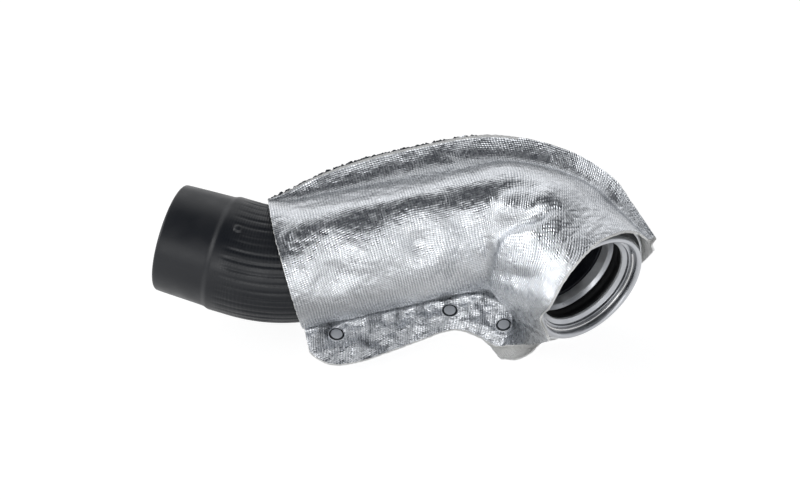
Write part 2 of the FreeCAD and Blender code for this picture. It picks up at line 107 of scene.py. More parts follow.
TENT_SHAPE = [(0, 0.0), (28, 0.05), (45, 0.3), (62, 0.75), (78, 1.0), (90, 0.7), (102, 0.2), (115, 0.0)]
RIVET_PLACES = [(0.17, 0.42), (0.84, 0.60), (1.62, 0.70)]
STATIONS = [0, 0.05, 0.14, 0.3, 0.48, 0.66, 0.83] + [1 + i / ELBOW_STEPS for i in range(ELBOW_STEPS + 1)]
STATIONS += [2.2, 2.4, 2.6, 2.8, 3]

HALF_GAP = (CLOTH + LAYER_GAP) / 2
LOWEST = -(CRIMP_R + WRAP_CLEARANCE + CLOTH / 2)
UP = np.array((0.0, 0.0, 1.0))
ELBOW_CENTRE = np.array((0.0, -ELBOW_R, 0.0))
ELBOW_END = ELBOW_CENTRE + ELBOW_R * np.array((math.sin(ELBOW_TURN), math.cos(ELBOW_TURN), 0))
COUPLING_DIR = np.array((math.cos(ELBOW_TURN), -math.sin(ELBOW_TURN), 0))
LIP_CENTRE = ELBOW_END + COUPLING_DIR * COUPLING_RUN
CUFF_DIR = np.array((
    -math.cos(CUFF_BEND) * math.cos(CUFF_RISE),
    math.sin(CUFF_BEND) * math.cos(CUFF_RISE),
    math.sin(CUFF_RISE),
))
CUFF_SIDE = CUFF_DIR * (0, 1, 1) / np.linalg.norm(CUFF_DIR * (0, 1, 1))
CUFF_TURN = math.acos(-CUFF_DIR[0])


# Mesh helpers

def piece(name, mesh, materials, nodes):
    """A finished piece of the part that stands for some of its solids."""
    thing = bpy.data.objects.new(name, mesh)
    bpy.context.scene.collection.objects.link(thing)
    for material in materials:
        mesh.materials.append(material)
    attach(thing, "root")
    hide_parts(*nodes)
    return thing


def woven_mesh(name, points, faces, uvs, sharp, indices=None, crimped=None):
    """A smooth-shaded mesh from points in millimetres, with a map in millimetres along and around it."""
    mesh = bpy.data.meshes.new(name)
    mesh.from_pydata((points + BASE) * MM, [], faces.tolist())
    layer = mesh.uv_layers.new(name="millimetres")
    corner = np.empty(len(mesh.loops), dtype=np.int32)
    mesh.loops.foreach_get("vertex_index", corner)
    layer.data.foreach_set("uv", uvs[corner].astype(np.float32).ravel())
    if indices is not None:
        mesh.polygons.foreach_set("material_index", indices.astype(np.int32))
    if crimped is not None:
        mesh.attributes.new("crimped", "FLOAT", "POINT").data.foreach_set("value", crimped.astype(np.float32))
    mesh.shade_smooth()
    mesh.set_sharp_from_angle(angle=math.radians(sharp))
    mesh.update()
    return mesh


def grid_faces(rows, columns, close_rows=False, close_columns=False, start=0, flip=False):
    """Four-sided faces over a grid of points that was laid out row by row."""
    r = np.arange(rows if close_rows else rows - 1)
    c = np.arange(columns if close_columns else columns - 1)
    r, c = np.meshgrid(r, c, indexing="ij")
    r2, c2 = (r + 1) % rows, (c + 1) % columns
    here, next_row = r * columns, r2 * columns
    quads = np.stack([here + c, next_row + c, next_row + c2, here + c2], -1).reshape(-1, 4)
    if flip:
        quads = quads[:, ::-1]
    return quads + start


def eased(profile, radius):
    """A closed profile with each corner rounded by a short curve."""
    corners = np.array(profile, dtype=float)
    out = []
    for i, corner in enumerate(corners):
        before, after = corners[i - 1] - corner, corners[(i + 1) % len(corners)] - corner
        a, b = np.linalg.norm(before), np.linalg.norm(after)
        reach = min(radius, a * 0.45, b * 0.45)
        start, end = corner + before / a * reach, corner + after / b * reach
        for t in (0, 0.25, 0.5, 0.75, 1):
            out.append(start * (1 - t) ** 2 + corner * 2 * t * (1 - t) + end * t * t)
    return np.array(out)


def turned(name, profile, places, ease=0.25, segments=144, groove=(0, 0)):
    """Turned rings from (radius, depth) corners, one at each (centre, axis).

    Faces between the groove's two radii, at depths over 0, get the second material.
    """
    outline = eased(profile, ease)
    angles = np.arange(segments) * 2 * math.pi / segments
    lengths = np.concatenate(([0], np.cumsum(np.linalg.norm(np.diff(outline, axis=0), axis=1))))
    uv = np.stack(np.meshgrid(angles * outline[:, 0].mean(), lengths, indexing="ij"), -1).reshape(-1, 2)
    middle = (outline + np.roll(outline, -1, axis=0)) / 2
    grooved = (middle[:, 0] > groove[0]) & (middle[:, 0] < groove[1]) & (middle[:, 1] > 0)
    points, faces = [], []
    for i, (centre, axis) in enumerate(places):
        side = np.cross(axis, UP if abs(axis[2]) < 0.9 else (1.0, 0, 0))
        side /= np.linalg.norm(side)
        ring = np.cos(angles)[:, None] * side + np.sin(angles)[:, None] * np.cross(axis, side)
        ring_points = centre + outline[None, :, :1] * ring[:, None, :] + outline[None, :, 1:] * axis
        points.append(ring_points.reshape(-1, 3))
        faces.append(grid_faces(segments, len(outline), True, True, start=i * len(uv)))
    points, faces = np.concatenate(points), np.concatenate(faces)
    if signed_volume(points, faces) < 0:
        faces = faces[:, ::-1]
    kinds = np.tile(grooved, segments * len(places))
    return woven_mesh(name, points, faces, np.tile(uv, (len(places), 1)), 50, kinds)


def signed_volume(points, faces):
    a, b, c, d = (points[faces[:, i]] for i in range(4))
    return (np.einsum("ij,ij->", a, np.cross(b, c)) + np.einsum("ij,ij->", a, np.cross(c, d))) / 6


def soft_noise(points, size, seed=0.0):
    """Smooth noise from about -1 to 1 at each point, with bumps of one size in millimetres."""
    shift = Vector((seed * 17.3, seed * 5.1, seed * 11.7))
    values = [noise.noise(Vector(p) / size + shift) for p in points.reshape(-1, 3)]
    return np.array(values).reshape(points.shape[:-1])


def smooth_step(x, low, high):
    t = np.clip((x - low) / (high - low), 0, 1)
    return t * t * (3 - 2 * t)


def at(keys, q):
    return float(np.interp(q, [k for k, _ in keys], [v for _, v in keys]))


# Materials: the sizes and heights of their patterns, in millimetres
THREAD_DRIFT, THREAD_WANDER, WORN_PATCH = 22.0, 14.0, 16.0
FOIL_GRAIN, FOIL_PUCKER = 2.2, 6.0
WEAVE_HEIGHT, PUCKER_HEIGHT, GRAIN_HEIGHT, CRIMPED_GRAIN_HEIGHT, FIBRE_HEIGHT = 0.07, 0.14, 0.25, 0.6, 0.2
RUBBER_CLOUD, RUBBER_GRAIN, SEAL_GRAIN, WRAP_WANDER = 14.0, 0.9, 0.8, 6.0
WRAP_HEIGHT, RUBBER_HEIGHT = 0.04, 0.03
METAL_STAIN, WIRE_STAIN, LINE_LENGTH, LINE_HEIGHT = 9.0, 3.0, 50.0, 0.02


def add_node(tree, kind, links=(), **settings):
    """Adds a node with its settings. Its sockets are set to values or linked to other nodes' outputs."""
    node = tree.nodes.new(kind)
    for key, value in settings.items():
        setattr(node, key, value)
    for socket, value in dict(links).items():
        if isinstance(value, bpy.types.NodeSocket):
            tree.links.new(value, node.inputs[socket])
        else:
            node.inputs[socket].default_value = value
    return node


def plain_material(name, colour, metallic, roughness):
    """A material with one even colour and finish, and its node tree and shader."""
    material = bpy.data.materials.new(name)
    material.use_nodes = True
    shader = material.node_tree.nodes["Principled BSDF"]
    shader.inputs["Base Color"].default_value = (*colour, 1)
    shader.inputs["Metallic"].default_value = metallic
    shader.inputs["Roughness"].default_value = roughness
    return material, material.node_tree, shader


def waves(tree, coordinate, pitch, wander):
    """Even ridges across a coordinate in millimetres, made to wander a little by a second value."""
    turns = add_node(tree, "ShaderNodeMath", {0: coordinate, 1: 2 * math.pi / pitch}, operation="MULTIPLY")
    moved = add_node(tree, "ShaderNodeMath", {0: turns.outputs[0], 1: wander}, operation="ADD")
    return add_node(tree, "ShaderNodeMath", {0: moved.outputs[0]}, operation="SINE").outputs[0]


def foil_cloth(look):
    """Aluminium foil bonded on woven glass cloth: a mirror broken up by thread ridges and fine creases."""
    dull = look.foil_roughness
    material, tree, shader = plain_material("aluminium_foil_on_glass_cloth", look.foil_colour, 1.0, dull)
    uv = add_node(tree, "ShaderNodeUVMap", uv_map="millimetres").outputs[0]
    object_at = add_node(tree, "ShaderNodeTexCoord").outputs["Object"]
    crimped = add_node(tree, "ShaderNodeAttribute", attribute_name="crimped").outputs["Fac"]
    along, around = add_node(tree, "ShaderNodeSeparateXYZ", {0: uv}).outputs[:2]

    # Threads that wander, and show less where the foil is worn
    drift = add_node(tree, "ShaderNodeTexNoise", {"Vector": uv, "Scale": 1 / THREAD_DRIFT, "Detail": 2.0})
    wander = add_node(
        tree, "ShaderNodeMath", {0: drift.outputs["Fac"], 1: THREAD_WANDER}, operation="MULTIPLY").outputs[0]
    ribs = waves(tree, along, look.rib_pitch / MM, wander)
    threads = waves(tree, around, look.thread_pitch / MM, wander)
    worn = add_node(tree, "ShaderNodeTexNoise", {"Vector": uv, "Scale": 1 / WORN_PATCH, "Detail": 3.0})
    share = add_node(tree, "ShaderNodeMapRange", {0: worn.outputs["Fac"], 1: 0.38, 2: 0.6, 3: 0.25, 4: 1.0})
    strong = add_node(tree, "ShaderNodeMath", {0: ribs, 1: share.outputs[0]}, operation="MULTIPLY").outputs[0]
    weave = add_node(
        tree, "ShaderNodeMath", {0: threads, 1: 0.5, 2: strong}, operation="MULTIPLY_ADD").outputs[0]

    # Foil that is duller in places, and greyer between the threads with painted shade
    fine = add_node(
        tree, "ShaderNodeTexNoise", {"Vector": object_at, "Scale": 1 / (FOIL_GRAIN * MM), "Detail": 3.0})
    grain = fine.outputs["Fac"]
    rough = add_node(tree, "ShaderNodeMapRange", {0: grain, 1: 0.3, 2: 0.7, 3: dull - 0.09, 4: dull + 0.12})
    tree.links.new(rough.outputs[0], shader.inputs["Roughness"])
    depth = add_node(tree, "ShaderNodeMapRange", {0: weave, 1: -1.1, 2: 0.5, 3: 0.0, 4: 1.0}).outputs[0]
    valley_shade_tint = add_node(
        tree, "ShaderNodeMix", {0: depth, 6: (*look.valley_shade_colour, 1), 7: (*look.foil_colour, 1)},
        data_type="RGBA")
    tree.links.new(valley_shade_tint.outputs[2], shader.inputs["Base Color"])

    # Heights: the weave, the foil's puckers, its grain and the marks of the crimping wheel
    creases = add_node(
        tree, "ShaderNodeTexVoronoi", {"Vector": object_at, "Scale": 1 / (FOIL_PUCKER * MM)},
        feature="DISTANCE_TO_EDGE")
    pucker = add_node(tree, "ShaderNodeMapRange", {0: creases.outputs["Distance"], 2: 0.3}).outputs[0]
    grain_height = add_node(tree, "ShaderNodeMapRange", {
        0: crimped, 3: GRAIN_HEIGHT * MM, 4: CRIMPED_GRAIN_HEIGHT * MM}).outputs[0]
    steps = add_node(tree, "ShaderNodeMath", {0: around, 1: look.crimp_pitch / MM}, operation="DIVIDE")
    stray = add_node(tree, "ShaderNodeMath", {0: steps.outputs[0], 1: wander}, operation="ADD")
    rise = add_node(tree, "ShaderNodeMath", {0: stray.outputs[0]}, operation="FRACT")
    marks = add_node(tree, "ShaderNodeMath", {0: rise.outputs[0], 1: crimped}, operation="MULTIPLY")
    first = add_node(tree, "ShaderNodeBump", {
        "Height": weave, "Strength": 1.0, "Distance": WEAVE_HEIGHT * MM})
    second = add_node(tree, "ShaderNodeBump", {
        "Height": pucker, "Strength": 1.0, "Distance": PUCKER_HEIGHT * MM, "Normal": first.outputs[0]})
    third = add_node(tree, "ShaderNodeBump", {
        "Height": grain, "Strength": 1.0, "Distance": grain_height, "Normal": second.outputs[0]})
    fourth = add_node(tree, "ShaderNodeBump", {
        "Height": marks.outputs[0], "Strength": 1.0, "Distance": look.crimp_depth,
        "Normal": third.outputs[0]}, invert=True)
    tree.links.new(fourth.outputs[0], shader.inputs["Normal"])
    return material


def bare_glass_cloth(look):
    """The inner side and the cut edges of the woven glass cloth: white fibre, quite matt."""
    material, tree, shader = plain_material("bare_glass_cloth", look.fibre_colour, 0.0, 0.75)
    uv = add_node(tree, "ShaderNodeUVMap", uv_map="millimetres").outputs[0]
    along = add_node(tree, "ShaderNodeSeparateXYZ", {0: uv}).outputs[0]
    ends = waves(tree, along, look.rib_pitch / MM / 2, 0.0)
    bump = add_node(tree, "ShaderNodeBump", {"Height": ends, "Distance": FIBRE_HEIGHT * MM})
    tree.links.new(bump.outputs[0], shader.inputs["Normal"])
    return material


def moulded_rubber(look):
    """Black cured rubber: satin on the cuff, with the marks of the curing wrap across the body."""
    dull = look.rubber_roughness
    material, tree, shader = plain_material("cured_black_rubber", look.rubber_colour, 0.0, dull)
    uv = add_node(tree, "ShaderNodeUVMap", uv_map="millimetres").outputs[0]
    along = add_node(tree, "ShaderNodeSeparateXYZ", {0: uv}).outputs[0]
    object_at = add_node(tree, "ShaderNodeTexCoord").outputs["Object"]
    cloud = add_node(
        tree, "ShaderNodeTexNoise", {"Vector": object_at, "Scale": 1 / (RUBBER_CLOUD * MM), "Detail": 4.0})
    grain = add_node(
        tree, "ShaderNodeTexNoise", {"Vector": object_at, "Scale": 1 / (RUBBER_GRAIN * MM), "Detail": 2.0})
    patches = cloud.outputs["Fac"]
    wander = add_node(tree, "ShaderNodeMath", {0: patches, 1: WRAP_WANDER}, operation="MULTIPLY").outputs[0]
    lines = waves(tree, along, look.wrap_pitch / MM, wander)
    body = add_node(tree, "ShaderNodeMapRange", {0: along, 1: CUFF_LENGTH + CUFF_STEP, 2: CUFF_RUN})
    marks = add_node(tree, "ShaderNodeMath", {0: lines, 1: body.outputs[0]}, operation="MULTIPLY").outputs[0]
    rough = add_node(tree, "ShaderNodeMapRange", {0: patches, 1: 0.3, 2: 0.7, 3: dull - 0.06, 4: dull + 0.1})
    tree.links.new(rough.outputs[0], shader.inputs["Roughness"])
    first = add_node(tree, "ShaderNodeBump", {"Height": marks, "Strength": 1.0, "Distance": WRAP_HEIGHT * MM})
    second = add_node(tree, "ShaderNodeBump", {
        "Height": grain.outputs["Fac"], "Strength": 1.0, "Distance": RUBBER_HEIGHT * MM,
        "Normal": first.outputs[0]})
    tree.links.new(second.outputs[0], shader.inputs["Normal"])
    return material


def seal_rubber(look):
    """Black seal rubber: smoother than the hose, with a fine grain."""
    material, tree, shader = plain_material("seal_rubber", look.seal_colour, 0.0, 0.42)
    object_at = add_node(tree, "ShaderNodeTexCoord").outputs["Object"]
    noise_node = add_node(
        tree, "ShaderNodeTexNoise", {"Vector": object_at, "Scale": 1 / (SEAL_GRAIN * MM), "Detail": 2.0})
    grain = noise_node.outputs["Fac"]
    bump = add_node(tree, "ShaderNodeBump", {"Height": grain, "Distance": RUBBER_HEIGHT * MM})
    tree.links.new(bump.outputs[0], shader.inputs["Normal"])
    rough = add_node(tree, "ShaderNodeMapRange", {0: grain, 1: 0.3, 2: 0.7, 3: 0.36, 4: 0.5})
    tree.links.new(rough.outputs[0], shader.inputs["Roughness"])
    return material


def drawn_steel(look):
    """Drawn spring steel: bright, with faint stains."""
    material, tree, shader = plain_material("drawn_spring_steel", look.wire_colour, 1.0, 0.2)
    object_at = add_node(tree, "ShaderNodeTexCoord").outputs["Object"]
    stain = add_node(
        tree, "ShaderNodeTexNoise", {"Vector": object_at, "Scale": 1 / (WIRE_STAIN * MM), "Detail": 2.0})
    rough = add_node(
        tree, "ShaderNodeMapRange", {0: stain.outputs["Fac"], 1: 0.3, 2: 0.7, 3: 0.15, 4: 0.28})
    tree.links.new(rough.outputs[0], shader.inputs["Roughness"])
    return material


def turned_metal(name, colour, roughness, line_pitch):
    """Turned or pressed metal: fine lines round the axis that draw the highlights out."""
    material, tree, shader = plain_material(name, colour, 1.0, roughness)
    uv = add_node(tree, "ShaderNodeUVMap", uv_map="millimetres").outputs[0]
    stretch = (1 / LINE_LENGTH, 1 / line_pitch, 1.0)
    drawn = add_node(tree, "ShaderNodeMapping", {"Vector": uv, "Scale": stretch})
    lines = add_node(tree, "ShaderNodeTexNoise", {"Vector": drawn.outputs[0], "Scale": 1.0, "Detail": 3.0})
    object_at = add_node(tree, "ShaderNodeTexCoord").outputs["Object"]
    stain = add_node(
        tree, "ShaderNodeTexNoise", {"Vector": object_at, "Scale": 1 / (METAL_STAIN * MM), "Detail": 3.0})
    rough = add_node(tree, "ShaderNodeMapRange", {
        0: stain.outputs["Fac"], 1: 0.3, 2: 0.7, 3: roughness * 0.75, 4: roughness * 1.4})
    tree.links.new(rough.outputs[0], shader.inputs["Roughness"])
    bump = add_node(tree, "ShaderNodeBump", {
        "Height": lines.outputs["Fac"], "Strength": 1.0, "Distance": LINE_HEIGHT * MM})
    tree.links.new(bump.outputs[0], shader.inputs["Normal"])
    return material


# Rubber hose

def turned_about(vector, axis, angle):
    return np.array(Matrix.Rotation(angle, 3, Vector(axis)) @ Vector(vector))


def hose_line(s):
    """The hose's middle at a length from the cuff's mouth: its place, direction and two side directions."""
    bend_axis = np.cross((-1.0, 0, 0), CUFF_SIDE)
    bend_axis /= np.linalg.norm(bend_axis)
    bend_end = np.array((-MIDDLE_RUN, 0, 0))
    bend_centre = bend_end + CUFF_SIDE * CUFF_BEND_R
    bend_length = CUFF_BEND_R * CUFF_TURN
    elbow_length = ELBOW_R * ELBOW_TURN
    start = bend_centre + turned_about(bend_end - bend_centre, bend_axis, CUFF_TURN)
    if s < CUFF_RUN:
        turn, place = CUFF_TURN, start + CUFF_DIR * (CUFF_RUN - s)
    else:
        turn = CUFF_TURN * (1 - min((s - CUFF_RUN) / bend_length, 1))
        place = bend_centre + turned_about(bend_end - bend_centre, bend_axis, turn)
    ahead = turned_about((1.0, 0, 0), bend_axis, turn)
    up = np.array(bend_axis)
    rest = s - CUFF_RUN - bend_length
    if rest > 0:
        place = np.array((-MIDDLE_RUN + min(rest, MIDDLE_RUN), 0, 0))
    rest -= MIDDLE_RUN
    if rest > 0:
        turn = min(rest / ELBOW_R, ELBOW_TURN)
        place = ELBOW_CENTRE + turned_about(-ELBOW_CENTRE, (0, 0, -1.0), turn)
        ahead, up = turned_about(ahead, (0, 0, -1.0), turn), turned_about(up, (0, 0, -1.0), turn)
    rest -= elbow_length
    if rest > 0:
        place = ELBOW_END + COUPLING_DIR * rest
    return place, ahead, up, np.cross(ahead, up)


def hose_outline():
    """The hose's section as (length, radius): out along the outside and back along the bore."""
    bend_end = CUFF_RUN + CUFF_BEND_R * CUFF_TURN
    elbow_start = bend_end + MIDDLE_RUN
    elbow_end = elbow_start + ELBOW_R * ELBOW_TURN
    end = elbow_end + COUPLING_RUN - LIP_SETBACK
    quarter = [math.pi / 2 * i / 6 for i in range(7)]
    out = [(CUFF_ROUND * (1 - math.cos(a)), CUFF_R - CUFF_ROUND * (1 - math.sin(a))) for a in quarter]
    out += [(s, CUFF_R + CUFF_GROWTH * s / CUFF_LENGTH) for s in np.linspace(4, CUFF_LENGTH - 1.2, 12)]
    grown = CUFF_R + CUFF_GROWTH
    for t in np.linspace(0, 1, 9):
        s = CUFF_LENGTH - 0.6 + (CUFF_STEP + 0.6) * t
        out.append((s, grown + (BODY_R - grown) * smooth_step(t, 0, 1)))
    out += [(s, BODY_R) for s in np.arange(CUFF_LENGTH + CUFF_STEP + 0.6, bend_end + 4, 0.8)]
    out += [(s, BODY_R) for s in np.linspace(bend_end + 6, elbow_start, 14)]
    out += [(s, BODY_R) for s in np.linspace(elbow_start, elbow_end, 26)[1:]]
    flare = elbow_end + FLARE_TAPER
    for t in (0.25, 0.5, 0.75, 1):
        out.append((elbow_end + FLARE_TAPER * t, BODY_R + (FLARE_R - BODY_R) * t))
    out += [(s, FLARE_R) for s in np.linspace(flare, end - 0.4, 8)[1:]]
    out += [(end, FLARE_R - 0.4), (end, BARREL_R)]
    pocket = elbow_end + COUPLING_RUN - BARREL_LENGTH - HOSE_END_GAP
    out += [(pocket, BARREL_R), (pocket, BORE_R)]
    out += [(s, BORE_R) for s in np.linspace(elbow_end, elbow_start, 22)]
    out += [(s, BORE_R) for s in np.linspace(elbow_start - 8, bend_end, 8)]
    out += [(s, BORE_R) for s in np.linspace(bend_end - 2, CUFF_RUN, 14)]
    out += [(s, BORE_R) for s in np.linspace(CUFF_RUN - 6, CUFF_ROUND, 6)]
    out += [(CUFF_ROUND * (1 - math.sin(a)), BORE_R + CUFF_ROUND * (1 - math.cos(a))) for a in quarter[1:]]
    return out


def hose_mesh():
    """The hose's skin, with its moulded flutes and the small round mark on its crown."""
    segments = FLUTES * 8
    angles = np.arange(segments) * 2 * math.pi / segments
    bend_end = CUFF_RUN + CUFF_BEND_R * CUFF_TURN
    pitch = 2 * math.pi / FLUTES
    groove = np.abs((angles + pitch / 2) % pitch - pitch / 2) / (pitch * FLUTE_SHARE / 2)
    groove = FLUTE_DEPTH * np.clip(1 - groove**2, 0, 1)
    side = np.cross(UP, CUFF_DIR)
    side /= np.linalg.norm(side)
    crown = np.cross(CUFF_DIR, side)
    nub_out = crown * math.sin(NUB_ANGLE) + side * math.cos(NUB_ANGLE)
    points, uvs = [], []
    for s, radius in hose_outline():
        place, ahead, up, beside = hose_line(s)
        ring = np.cos(angles)[:, None] * up + np.sin(angles)[:, None] * beside
        r = np.full(segments, radius)
        if radius == BODY_R:
            fade = smooth_step(s, CUFF_LENGTH + CUFF_STEP + 1, CUFF_RUN + 3)
            fade *= 1 - smooth_step(s, bend_end, bend_end + 3)
            r -= groove * fade * (0.55 + 0.35 * soft_noise(place + ring * radius, 16.0, 4.0))
            along = s - (CUFF_RUN - NUB_PLACE)
            off = np.hypot(along, np.arccos(np.clip(ring @ nub_out, -1, 1)) * BODY_R)
            r += NUB_HEIGHT * (1 - smooth_step(off, NUB_D / 2 - 0.7, NUB_D / 2 + 0.2))
        points.append(place + ring * r[:, None])
        uvs.append(np.stack([np.full(segments, s), angles * BODY_R], -1))
    points, uvs = np.array(points), np.array(uvs)
    faces = grid_faces(len(points), segments, True, True)
    if signed_volume(points.reshape(-1, 3), faces) < 0:
        faces = faces[:, ::-1]
    return woven_mesh("rubber_hose_skin", points.reshape(-1, 3), faces, uvs.reshape(-1, 2), 50)


# Heat shield

def shield_frame(q):
    """The middle, the side towards the elbow's inside and the way ahead, at one place along the shield."""
    if q <= 1:
        x = SHIELD_COVER * (q - 1)
        reach = max(-x - MIDDLE_RUN, 0)
        offset = CUFF_BEND_R - math.sqrt(CUFF_BEND_R**2 - reach**2)
        return np.array((x, 0, 0)) + CUFF_SIDE * offset, np.array((0, -1.0, 0)), np.array((1.0, 0, 0))
    turn = min(q - 1, 1) * ELBOW_TURN
    out = np.array((math.sin(turn), math.cos(turn), 0))
    forward = np.array((math.cos(turn), -math.sin(turn), 0))
    place = ELBOW_CENTRE + out * ELBOW_R + forward * (max(q - 2, 0) * (COUPLING_RUN + MOUTH_LAP))
    return place, -out, forward


def wrap_radius(q):
    held = BODY_R + (CRIMP_R - BODY_R) * min(max(q - 1, 0) / (CRIMP_PLACE - 1), 1)
    reach = max(-SHIELD_COVER * (q - 1) - MIDDLE_RUN, 0)
    lean = math.cos(math.asin(reach / CUFF_BEND_R))
    return held / lean + WRAP_CLEARANCE + CLOTH / 2 + at(WRAP_SLACK, q)


def polar(radius, degrees):
    return radius * math.cos(math.radians(degrees)), radius * math.sin(math.radians(degrees))


def seam_points(q, side):
    reach, angle = wrap_radius(q) + at(SEAM_REACH, q), at(SEAM_ANGLE, q)
    root = max(reach - SEAM_LIP, wrap_radius(q) + SEAM_LIP_LEAST)
    shift = polar(HALF_GAP * side, angle - 90)
    return [(u + shift[0], w + shift[1]) for u, w in (polar(reach, angle), polar(root, angle))], root


def wrap_points(q, root, side, end):
    radius = wrap_radius(q)
    start = at(SEAM_ANGLE, q) - side * math.degrees(math.acos(min(radius / root, 1)))
    step = (end - start) / (WRAP_POINTS - 1)
    fitted = radius * 3 / (2 + math.cos(math.radians(step)))
    return [polar(fitted, start + step * i) for i in range(WRAP_POINTS)]


def tented(q, u, w):
    """A point of the wrap, lifted where the cloth stands off the hose's crown."""
    radius, degrees = math.hypot(u, w), math.degrees(math.atan2(w, u))
    return polar(radius + at(TENT_LIFT, q) * at(TENT_SHAPE, degrees), degrees)


def flange_points(q, side):
    held = wrap_radius(q)
    u0, w0 = held + at(CREASE_REACH, q), LOWEST + at(CREASE_LIFT, q)
    u1, w1 = held + at(EDGE_REACH, q), LOWEST + at(EDGE_LIFT, q)
    length = math.hypot(u1 - u0, w1 - w0)
    nu, nw = (w0 - w1) / length * HALF_GAP * side, (u1 - u0) / length * HALF_GAP * side
    shares = [k / (FLANGE_POINTS - 1) for k in range(FLANGE_POINTS)]
    return [(u0 + (u1 - u0) * t + nu, w0 + (w1 - w0) * t + nw) for t in shares]


def front_section(q):
    seam, root = seam_points(q, 1)
    around = wrap_points(q, root, 1, at(FRONT_WRAP_END, q))
    around = [tented(q, u, w) for u, w in around]
    fade = max(q - VISOR_START, 0) / (3 - VISOR_START)
    points = [(u, w, VISOR_REACH * fade * max(u, 0) / wrap_radius(q)) for u, w in seam + around]
    shift = at(EDGE_SHIFT, q)
    return points + [(u, w, shift * (k + 1) / FLANGE_POINTS) for k, (u, w) in enumerate(flange_points(q, 1))]


def rear_flange(q, low):
    shift = at(EDGE_SHIFT, min(q, 2))
    flat = flange_points(min(q, 2), -1)
    points = [(u, w, shift * (k + 1) / FLANGE_POINTS) for k, (u, w) in enumerate(flat)]
    laid = min(max(q - FLAP_START, 0) / (FLAP_LAID - FLAP_START), 1)
    u, w, along = points[-1]
    edge = (u + at(FLAP_REACH, q), w + (low - w) * laid, along + at(FLAP_SHIFT, q))
    if q <= 2:
        return points[:-1] + [edge]
    tuck = q - 2
    u, w, along = points[0]
    start = (u + (REAR_END_OUT - u) * tuck, w + (low - w) * tuck, along - (along + REAR_SETBACK) * tuck)
    shares = [k / (FLANGE_POINTS - 1) for k in range(FLANGE_POINTS)]
    return [tuple(a + (b - a) * t for a, b in zip(start, edge)) for t in shares]


def rear_section(q):
    seam, root = seam_points(q, -1)
    around = wrap_points(q, root, -1, BACK_WRAP_END)
    low = LOWEST + at(BELLY_LIFT, q)
    flat = rear_flange(q, low)
    belly = [(-BELLY_HALF, low), (BELLY_HALF, low)]
    lift = (belly[1][0] / 2 + flat[0][0] / 2, low + (flat[0][1] - low) * BELLY_RISE)
    back = REAR_SETBACK * max(q - 2, 0)
    points = [(u, w, 0.0) for u, w in seam]
    points += [(u, w, -back * min(i / TUCK_POINTS, 1)) for i, (u, w) in enumerate(around)]
    return points + [(u, w, -back) for u, w in belly + [lift]] + flat


def control_net(section, side):
    """Outer and inner control points, half the cloth's thickness each side of the section."""
    layers = ([], [])
    for q in STATIONS:
        place, across, forward = shield_frame(q)
        points = section(q)
        fade = max(1 - q / LEAN_FADE, 0)
        rows = ([], [])
        for i, (u, w, shift) in enumerate(points):
            before, after = points[max(i - 1, 0)], points[min(i + 1, len(points) - 1)]
            du, dw = after[0] - before[0], after[1] - before[1]
            length = math.hypot(du, dw)
            nu, nw = -dw / length * side, du / length * side
            lean = -fade * (SIDE_LEAN * u + UP_LEAN * w)
            for row, off in zip(rows, (CLOTH / 2, -CLOTH / 2)):
                row.append(place + across * (u + nu * off) + UP * (w + nw * off) + forward * (shift + lean))
        for layer, row in zip(layers, rows):
            layer.append(row)
    return np.array(layers[0]), np.array(layers[1])


def spline_weights(count, places):
    """How much each control point of an even cubic spline pulls at places from 0 to 1."""
    knots = np.concatenate((np.zeros(3), np.linspace(0, 1, count - 2), np.ones(3)))
    t = np.clip(np.asarray(places), 0, 1 - 1e-9)[:, None]
    weights = ((knots[:-1] <= t) & (t < knots[1:])).astype(float)
    for degree in (1, 2, 3):
        i = np.arange(len(knots) - 1 - degree)
        rise, fall = knots[i + degree] - knots[i], knots[i + degree + 1] - knots[i + 1]
        up = np.where(rise > 0, (t - knots[i]) / np.where(rise > 0, rise, 1), 0)
        down = np.where(fall > 0, (knots[i + degree + 1] - t) / np.where(fall > 0, fall, 1), 0)
        weights = up * weights[:, :-1] + down * weights[:, 1:]
    return weights


def spline_surface(poles, along, across):
    weights = spline_weights(poles.shape[0], along), spline_weights(poles.shape[1], across)
    return np.einsum("ai,ijk,bj->abk", weights[0], poles, weights[1])


def even_places(poles, count, axis):
    """Places from 0 to 1 that are evenly spaced over the middle of the cloth."""
    fine = np.linspace(0, 1, 600)
    middle = np.array([0.3, 0.5, 0.7])
    grid = spline_surface(poles if axis == 0 else poles.swapaxes(0, 1), fine, middle)
    steps = np.linalg.norm(np.diff(grid, axis=0), axis=2).mean(axis=1)
    length = np.concatenate(([0], np.cumsum(steps)))
    return np.interp(np.linspace(0, length[-1], count), length, fine)


def greville(count):
    """The places from 0 to 1 that each control point of an even cubic spline pulls at most."""
    knots = np.concatenate((np.zeros(3), np.linspace(0, 1, count - 2), np.ones(3)))
    return np.array([knots[i + 1:i + 4].mean() for i in range(count)])


def rivet_axes():
    """Where each rivet's head is pressed into the flange, and the direction out of it."""
    outer = control_net(front_section, 1)[0]
    along, across = greville(outer.shape[0]), greville(outer.shape[1])[-FLANGE_POINTS:]
    axes = []
    for q, share in RIVET_PLACES:
        u = np.interp(q, STATIONS, along)
        v = across[0] + (across[-1] - across[0]) * share
        near = spline_surface(outer, [u - 1e-3, u, u + 1e-3], [v - 1e-3, v, v + 1e-3])
        out = np.cross(near[2, 1] - near[0, 1], near[1, 2] - near[1, 0])
        out /= np.linalg.norm(out) * (1 if out[2] > 0 else -1)
        axes.append((near[1, 1] - out * PRESS, out))
    return axes


def cloth_normals(points):
    along, across = np.gradient(points, axis=0), np.gradient(points, axis=1)
    normals = np.cross(along, across)
    return normals / np.linalg.norm(normals, axis=2, keepdims=True)


